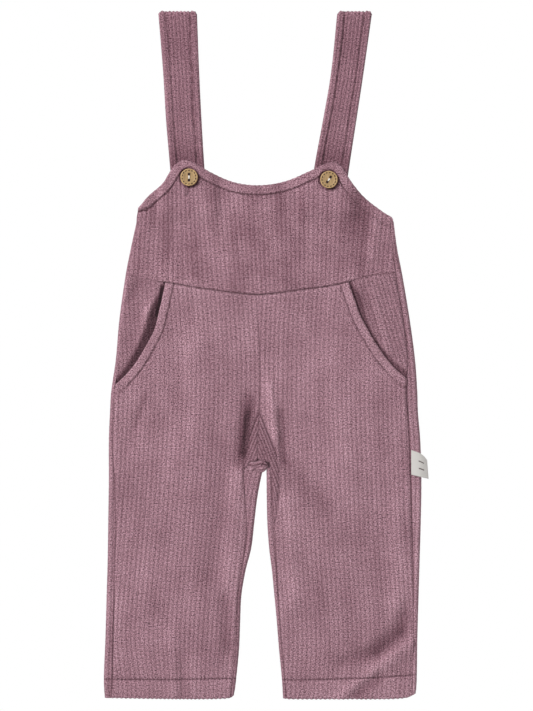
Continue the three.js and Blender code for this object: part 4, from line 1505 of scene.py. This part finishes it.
def strap_relief(across, width, run, shown):
    """Outer face of a strap from its edge: wales, two rows of topstitching and rounded sides."""
    inward = np.minimum(across, width - across)
    middle = across - width / 2
    rib = np.rint(middle / STRAP_PITCH)
    crest = wave(middle / STRAP_PITCH, 0.5)
    uneven = 0.16 * np.sin(0.8 * run + 2.1 * rib) + 0.1 * np.sin(2.3 * run + 3.7 * rib)
    ripple = 0.35 * np.sin(run / 9 + 3 * np.sign(middle)) + 0.2 * np.sin(run * 1.7)
    tuck = 0.65 + 0.35 * np.cos(run * math.tau / STITCH_STEP)
    groove = tuck * bell(inward + ripple - STRAP_STITCH, 0.75) * shown
    side = 0.95 * bell(inward, 0.8)
    band = 0.35 * ramp(inward, 0, 1.5) * (1 - ramp(inward, STRAP_STITCH - 1.5, STRAP_STITCH))
    height = shown * (0.42 * crest * (0.9 + uneven) + band) - 0.75 * groove - side
    # Also where the stitch grooves lie, for painted shade, and the band along each edge, for a painted
    # highlight
    return height, groove, shown * bell(inward - 1.2, 1.2)


def make_strap(part):
    """One strap, from the back over the fold to its free end."""
    path_y, path_z, out_y, out_z, run = strap_path()

    def place(u, station, under):
        i = station.astype(int)
        y = path_y[i]
        low, high = part["strap_from"](y), part["strap_to"](y)
        width = high - low
        across = u * width
        inward = np.minimum(across, width - across)
        shown = ramp(out_z[i], -0.9, 0.4)
        relief, groove, pale = strap_relief(across, width, run[i], shown)
        strong = part["strap_seams"][0] * (u < 0.5) + part["strap_seams"][1] * (u >= 0.5)
        inside = -STRAP / 2 + 0.7 * bell(inward, 0.7)
        reach = np.where(under, inside, STRAP / 2 + relief)
        sway = 0.3 * np.sin(run[i] / 17) * np.sin(u * 3.1) * ramp(out_z[i], 0.2, 1)
        scallop = 0.3 * np.cos(math.tau * across / STRAP_PITCH)
        corner = out_y[i] * (1.5 * bell(inward, 1.5) - scallop)
        z = path_z[i] + out_z[i] * reach + sway
        points = np.stack([low + across, y + out_y[i] * reach - corner, z], 1)
        # Painted highlight on the fold at the top and on the edge bands (partly flatter pile), painted shadow
        # on the strap beside the tab, and painted shade in the stitch grooves
        tip = np.clip(out_y[i] * 1.2, 0, 1)
        near_tab = 0.3 * ramp(out_z[i], 0.2, 1) * (1 - ramp(y, 168, 182))
        crease_and_shade = strong * groove + near_tab
        shade_and_finish = shade_and_finish_of(across, crease_and_shade, 0.7 * pale + 0.8 * tip, 0.3 * np.abs(u - 0.5))
        return points, np.stack([across - width / 2, run[i]], 1), shade_and_finish

    columns = graded((0, 0.04, 0.01), (0.04, 0.96, 0.0165), (0.96, 1, 0.01))
    sheet = cloth_sheet(columns, np.arange(len(path_y)), place)
    name = "strap_" + part["name"]
    strap = piece(name, [sheet], material("corduroy_straps"), "corduroy", [name])


class DUNGAREES_OT_straps(bpy.types.Operator):
    """Two straps, each a flat tube folded over at the top"""

    bl_idname = "dungarees.straps"
    bl_label = "Straps"

    def execute(self, context):
        for part in SIDE.values():
            make_strap(part)
        return {"FINISHED"}


# Radius and height of the button's section, from the middle of its back over the rim to its face
BUTTON_SECTION = (
    (0.0, 0.0), (3.0, 0.0), (6.4, 0.0), (7.2, 0.45), (7.5, 1.2), (7.45, 1.9), (7.2, 2.4), (6.95, 2.57),
    (6.7, 2.6), (6.5, 2.5), (6.4, 2.38), (6.3, 2.36), (6.1, 2.36), (5.9, 2.36), (5.7, 2.36), (5.5, 2.36),
    (5.35, 2.38), (5.2, 2.44), (5.0, 2.44), (4.85, 2.25), (4.6, 2.18), (4.0, 2.14), (3.0, 2.1), (2.0, 2.07),
    (1.0, 2.05), (0.0, 2.05),
)


def button_body(place):
    """The turned button without its holes: raised rim, dished face and a ring of engraved dashes."""
    bm = bmesh.new()
    points = [bm.verts.new((r, 0, z)) for r, z in BUTTON_SECTION]
    edges = [bm.edges.new(pair) for pair in zip(points[:-1], points[1:])]
    turned = {"cent": (0, 0, 0), "axis": (0, 0, 1), "angle": math.tau, "steps": 12 * DASHES}
    bmesh.ops.spin(bm, geom=points + edges, use_merge=True, **turned)
    bmesh.ops.remove_doubles(bm, verts=bm.verts[:], dist=1e-4)
    bmesh.ops.recalc_face_normals(bm, faces=bm.faces[:])
    for v in bm.verts:
        r = math.hypot(v.co.x, v.co.y)
        if v.co.z > 2.3 and abs(r - DASH_RING) < 0.45:
            dash = math.cos(DASHES * math.atan2(v.co.y, v.co.x))
            v.co.z -= 0.5 * max(0.0, min(1.0, 4 * (dash - 0.1)))
    bmesh.ops.scale(bm, vec=(MM, MM, MM), verts=bm.verts[:])
    spot = Matrix.Translation((place["x"] * MM, place["y"] * MM, BUTTON_BASE * MM))
    turn = Matrix.Rotation(math.radians(place["turn"]), 4, "Z")
    bmesh.ops.transform(bm, matrix=spot @ turn, verts=bm.verts[:])
    name = "button_" + place["side"]
    return show(name, mesh_of(name, bm), material("turned_wood"), "button_wood", [name])


def thread_holes(place):
    """X and Y of the two holes."""
    turn = math.radians(place["turn"])
    for half in (-HOLE_OFFSET, HOLE_OFFSET):
        yield place["x"] + half * math.cos(turn), place["y"] + half * math.sin(turn)


def pierce(thing, place):
    """Cuts the two thread holes, and gives the mesh that is left."""
    cutter = bmesh.new()
    size = {"radius1": (HOLE_RADIUS - 0.08) * MM, "radius2": (HOLE_RADIUS + 0.08) * MM, "depth": 4 * MM}
    for x, y in thread_holes(place):
        spot = Matrix.Translation((x * MM, y * MM, (BUTTON_BASE + 1.3) * MM))
        bmesh.ops.create_cone(cutter, cap_ends=True, segments=28, matrix=spot, **size)
    holes = bpy.data.objects.new("thread_holes", mesh_of("thread_holes", cutter))
    bpy.context.scene.collection.objects.link(holes)
    modifier = thing.modifiers.new("Holes", "BOOLEAN")
    modifier.operation = "DIFFERENCE"
    modifier.solver = "EXACT"
    modifier.object = holes
    bpy.context.view_layer.update()
    cut = bpy.data.meshes.new_from_object(thing.evaluated_get(bpy.context.evaluated_depsgraph_get()))
    thing.modifiers.clear()
    bpy.data.objects.remove(holes)
    return cut


def button(place):
    """A turned button with two thread holes, and its colour attribute: painted shade in the holes, burnt
    dashes, pale on the rim.
    """
    thing = button_body(place)
    thing.data = cut = pierce(thing, place)
    cut.shade_smooth()
    x, y, z = points_of(cut).T / MM
    r = np.hypot(x - place["x"], y - place["y"])
    hole = np.min([np.hypot(x - hole_x, y - hole_y) for hole_x, hole_y in thread_holes(place)], axis=0)
    up = z - BUTTON_BASE
    dash = (np.abs(r - DASH_RING) < 0.5) * np.clip((2.36 - up) / 0.2, 0, 1) * (up > 1.6)
    # Painted shade in the holes; the dashes are burnt dark
    dark = np.maximum(dash, hole < HOLE_RADIUS + 0.15)
    pale = bell(r - 6.9, 0.4) + 0.5 * bell(r - 5.1, 0.25)
    set_shade_and_finish(cut, shade_and_finish_of(x, dark, pale * (up > 1.5)))


def strand(bm, points, radius, sides=8):
    """A round thread along a line of points."""
    rings = []
    for i, point in enumerate(points):
        ahead = Vector(points[min(i + 1, len(points) - 1)]) - Vector(points[max(i - 1, 0)])
        spot = Matrix.Translation(point) @ ahead.to_track_quat("Z", "Y").to_matrix().to_4x4()
        made = bmesh.ops.create_circle(bm, segments=sides, radius=radius, matrix=spot, cap_ends=False)
        rings.append(made["verts"])
    for first, second in zip(rings[:-1], rings[1:]):
        edges = {e for v in first for e in v.link_edges if e.other_vert(v) in first}
        edges |= {e for v in second for e in v.link_edges if e.other_vert(v) in second}
        bmesh.ops.bridge_loops(bm, edges=list(edges))
    for ring in (rings[0], rings[-1]):
        bmesh.ops.contextual_create(bm, geom=ring)


def bead(bm, spot, size, segments=8, rings=6):
    """A small round form. size is its half length along each of its own axes."""
    stretch = Matrix.Diagonal((*size, 1))
    bmesh.ops.create_uvsphere(bm, u_segments=segments, v_segments=rings, radius=1, matrix=spot @ stretch)


def thread_piece(name, bm, look):
    """Shows sewing that was built in millimetres."""
    bmesh.ops.scale(bm, vec=(MM, MM, MM), verts=bm.verts[:])
    bmesh.ops.recalc_face_normals(bm, faces=bm.faces[:])
    mesh = mesh_of(name, bm)
    mesh.shade_smooth()
    return show(name, mesh, material(look), "corduroy")


def button_thread(place):
    """Three strands between the button's holes."""
    turn = math.radians(place["turn"])
    bm = bmesh.new()
    for aside in (-STRAND_ASIDE, 0.0, STRAND_ASIDE):
        points = []
        for s in np.linspace(-1, 1, 13):
            along = THREAD_REACH * s
            drop = 2.0 * ramp(abs(s), 0.6, 1.0)
            x = place["x"] + along * math.cos(turn) - aside * math.sin(turn)
            y = place["y"] + along * math.sin(turn) + aside * math.cos(turn)
            points.append((x, y, BUTTON_BASE + 2.3 + 0.12 * (aside == 0) - drop))
        strand(bm, points, STRAND_RADIUS)
    return bm


def buttonhole(place, panel):
    """Two rows of close stitches beside the buttonhole, left out at the button, and a bar at each end."""
    bm = bmesh.new()
    first, last = (np.array(end) for end in place["hole"])
    length = float(np.hypot(*(last - first)))
    along = (last - first) / length
    beside = np.array((-along[1], along[0]))
    lie = Matrix.Rotation(math.atan2(beside[1], beside[0]), 4, "Z")

    def stitch(x, y, size):
        z = float(panel.top(np.array([x]), np.array([y]))[0]) - 0.05
        bead(bm, Matrix.Translation((x, y, z)) @ lie, size)

    count = int(length / HOLE_STEP)
    for row in (-HOLE_ROW, HOLE_ROW):
        for k in range(count):
            x, y = first + along * length * k / (count - 1) + beside * row
            if button_shade(x, y) <= 0.45:
                stitch(x, y, HOLE_STITCH)
    for spot in (first - along * 0.5, last + along * 0.5):
        for aside in np.linspace(-1.2, 1.2, 6):
            stitch(*(spot + beside * aside), BAR_STITCH)
    return bm


class DUNGAREES_OT_buttons(bpy.types.Operator):
    """Two wooden buttons with their thread and buttonholes"""

    bl_idname = "dungarees.buttons"
    bl_label = "Buttons"

    def execute(self, context):
        panel = bib_panel()
        for place in BUTTONS:
            button(place)
            thread_piece("button_thread_" + place["side"], button_thread(place), "button_thread")
            thread_piece("buttonhole_" + place["side"], buttonhole(place, panel), "buttonhole_thread")
        return {"FINISHED"}


class DUNGAREES_OT_label(bpy.types.Operator):
    """Folded tape label in the side seam"""

    bl_idname = "dungarees.label"
    bl_label = "Side label"

    def execute(self, context):
        at = np.array(LABEL_SECTIONS["x"])
        upper = lookup(LABEL_SECTIONS, "x", "upper")
        lower = lookup(LABEL_SECTIONS, "x", "lower")
        height = lookup(LABEL_SECTIONS, "x", "z")

        def place(u, t, under):
            out = at[0] + u * (at[-1] - at[0])
            x = out - 1.32 * (t - 0.5) * u
            y = lower(out) + t * (upper(out) - lower(out))
            bow = 0.25 * np.sin(t * math.pi) * u
            edge = np.minimum(np.minimum(t, 1 - t) * LABEL_WIDTH, (1 - u) * LABEL_LENGTH)
            round_off = 0.28 * bell(edge, 0.35)
            z = height(out) + bow + np.where(under, round_off, LABEL_THICK - round_off)
            grain = np.stack([u * LABEL_LENGTH, (t - 0.5) * LABEL_WIDTH], 1)
            return np.stack([x, y, z], 1), grain, shade_and_finish_of(x)

        columns = graded((0, 0.93, 0.04), (0.93, 1, 0.014))
        levels = graded((0, 0.04, 0.01), (0.04, 0.96, 0.04), (0.96, 1, 0.01))
        sheet = cloth_sheet(columns, levels, place)
        tape = piece("side_label", [sheet], material("woven_tape"), "label_tape", ["side_label"])
        return {"FINISHED"}


def stitch_row(bm, line, height):
    """Topstitches along a line of X and Y points."""
    line = np.asarray(line, float)
    length = np.concatenate([[0], np.cumsum(np.hypot(*np.diff(line, axis=0).T))])
    for middle in np.arange(STITCH_STEP / 2, length[-1], STITCH_STEP):
        ends = []
        for at in (middle - STITCH_LENGTH / 2, middle + STITCH_LENGTH / 2):
            p = [np.interp(at, length, line[:, k]) for k in (0, 1)]
            ends.append(Vector((*p, height(p))))
        low, high = ends
        turn = (high - low).to_track_quat("Z", "Y").to_matrix().to_4x4()
        size = (STITCH_RADIUS, STITCH_RADIUS, (high - low).length / 2)
        bead(bm, Matrix.Translation((low + high) / 2) @ turn, size, 6, 5)


def offset_line(line, distance):
    """A line moved sideways, to the left of its direction."""
    line = np.asarray(line, float)
    step = np.gradient(line, axis=0)
    step /= np.linalg.norm(step, axis=1, keepdims=True)
    return line + distance * np.stack([-step[:, 1], step[:, 0]], 1)


def smooth_line(line, rounds):
    """Evens out a line between its ends."""
    for _ in range(rounds):
        line[1:-1] = (line[:-2] + 2 * line[1:-1] + line[2:]) / 4
    return line


def on(panel):
    """Height of a stitch's middle at a point of the panel."""
    return lambda p: float(panel.top(np.array([p[0]]), np.array([p[1]]))[0]) + STITCH_LIFT


def bib_sewing():
    """Topstitching along the neckline and the armholes."""
    bm = bmesh.new()
    xs = np.linspace(-110, 108, 260)
    edge = smooth_line(np.stack([xs, bib_top(xs)], 1), 6)
    line = smooth_line(offset_line(edge, -neck_stitch(edge[:, :1])), 10)
    keep = [k for k, p in enumerate(line) if nearest(p[0], p[1], edge)[0] > neck_stitch(p[0]) - 0.5]
    stitch_row(bm, line[keep], on(bib_panel()))
    thread_piece("bib_topstitch", bm, "sewing_thread")


def leg_sewing(part):
    """Topstitching along a pocket's edge and a hem."""
    sign = part["sign"]
    panel = leg_panel(part)
    bm = bmesh.new()
    edge = line_of(part["pocket"], np.linspace(pocket_end(part) - 2, 62, 80))
    line = offset_line(edge, sign * POCKET_STITCH)
    seam = part["outer_seam"](line[:, 1])
    line = line[(sign * (seam - line[:, 0]) > 0.6) & (line[:, 1] < waist(line[:, 0]) - 0.6)]
    stitch_row(bm, line, on(panel))
    outer, inner, _ = leg_edges(part)
    x = np.linspace(float(outer(HEM_STITCH)), float(inner(HEM_STITCH)), 30)
    stitch_row(bm, np.stack([x, hem_line(x)], 1), on(panel))
    thread_piece("leg_topstitch_" + part["name"], bm, "sewing_thread")


def strap_sewing(part):
    """Topstitching near both edges of a strap."""
    bm = bmesh.new()
    y = np.linspace(STRAP_TOP - 4, STRAP_END + 1, 40)
    for edge, direction in ((part["strap_from"], 1), (part["strap_to"], -1)):
        stitch_row(bm, line_of(edge, y, direction * STRAP_STITCH), lambda p: STRAP_FRONT_TOP + 0.05)
    thread_piece("strap_topstitch_" + part["name"], bm, "sewing_thread")


class DUNGAREES_OT_sewing(bpy.types.Operator):
    """Topstitching on the neckline, armholes, pockets, hems and straps"""

    bl_idname = "dungarees.sewing"
    bl_label = "Sewing"

    def execute(self, context):
        bib_sewing()
        for part in SIDE.values():
            leg_sewing(part)
            strap_sewing(part)
        return {"FINISHED"}


class DUNGAREES_OT_stage(bpy.types.Operator):
    """White surface, lights and the camera straight above"""

    bl_idname = "dungarees.stage"
    bl_label = "Stage"

    def execute(self, context):
        look = context.scene.dungarees
        bm = bmesh.new()
        bmesh.ops.create_grid(bm, x_segments=1, y_segments=1, size=3)
        mesh = mesh_of("surface", bm)
        mesh.transform(Matrix.Translation((0, 0, -FLOOR_DROP)))
        floor = bpy.data.objects.new("surface", mesh)
        context.scene.collection.objects.link(floor)
        white = bpy.data.materials.new("white_surface")
        white.use_nodes = True
        tree = white.node_tree
        tree.nodes.clear()
        glow = add(tree, "ShaderNodeEmission", {"Color": (1, 1, 1, 1), "Strength": 1.0})
        add(tree, "ShaderNodeOutputMaterial", {"Surface": glow.outputs[0]})
        mesh.materials.append(white)

        world = bpy.data.worlds.new("studio")
        context.scene.world = world
        world.use_nodes = True
        background = world.node_tree.nodes["Background"]
        background.inputs["Color"].default_value = (1, 1, 1, 1)
        background.inputs["Strength"].default_value = look.surround
        for name, spot, size, power in LIGHTS:
            data = bpy.data.lights.new(name, "AREA")
            data.size = size
            data.energy = getattr(look, power)
            lamp = bpy.data.objects.new(name, data)
            lamp.location = spot
            lamp.rotation_euler = (Vector((0, 0, 0)) - Vector(spot)).to_track_quat("-Z", "Y").to_euler()
            context.scene.collection.objects.link(lamp)

        data = bpy.data.cameras.new("camera")
        data.sensor_fit = "VERTICAL"
        data.sensor_height = SENSOR
        data.lens = LENS
        data.dof.use_dof = False
        eye = bpy.data.objects.new("camera", data)
        height = IMAGE_HEIGHT * PIXEL * MM * data.lens / SENSOR + 0.005
        eye.location = (0.5 * PIXEL * MM, -0.5 * PIXEL * MM, height)
        context.scene.collection.objects.link(eye)
        context.scene.camera = eye
        context.scene.view_settings.view_transform = "Standard"
        return {"FINISHED"}


OPERATORS = (
    DUNGAREES_OT_back_panels,
    DUNGAREES_OT_pockets,
    DUNGAREES_OT_front_legs,
    DUNGAREES_OT_bib,
    DUNGAREES_OT_straps,
    DUNGAREES_OT_buttons,
    DUNGAREES_OT_label,
    DUNGAREES_OT_sewing,
    DUNGAREES_OT_stage,
)


class DUNGAREES_PT_panel(bpy.types.Panel):
    """Lists the settings and the steps that build the dungarees"""

    bl_label = "Dungarees"
    bl_idname = "DUNGAREES_PT_panel"
    bl_space_type = "VIEW_3D"
    bl_region_type = "UI"
    bl_category = "Dungarees"

    def draw(self, context):
        for name in DungareesSettings.__annotations__:
            self.layout.prop(context.scene.dungarees, name)
        for operator in OPERATORS:
            self.layout.operator(operator.bl_idname)


CLASSES = (DungareesSettings, *OPERATORS, DUNGAREES_PT_panel)


def register():
    for item in CLASSES:
        bpy.utils.register_class(item)
    bpy.types.Scene.dungarees = PointerProperty(type=DungareesSettings)


def unregister():
    del bpy.types.Scene.dungarees
    for item in reversed(CLASSES):
        bpy.utils.unregister_class(item)


def main():
    register()
    for operator in OPERATORS:
        getattr(bpy.ops.dungarees, operator.bl_idname.split(".")[1])()


if __name__ == "__main__":
    main()
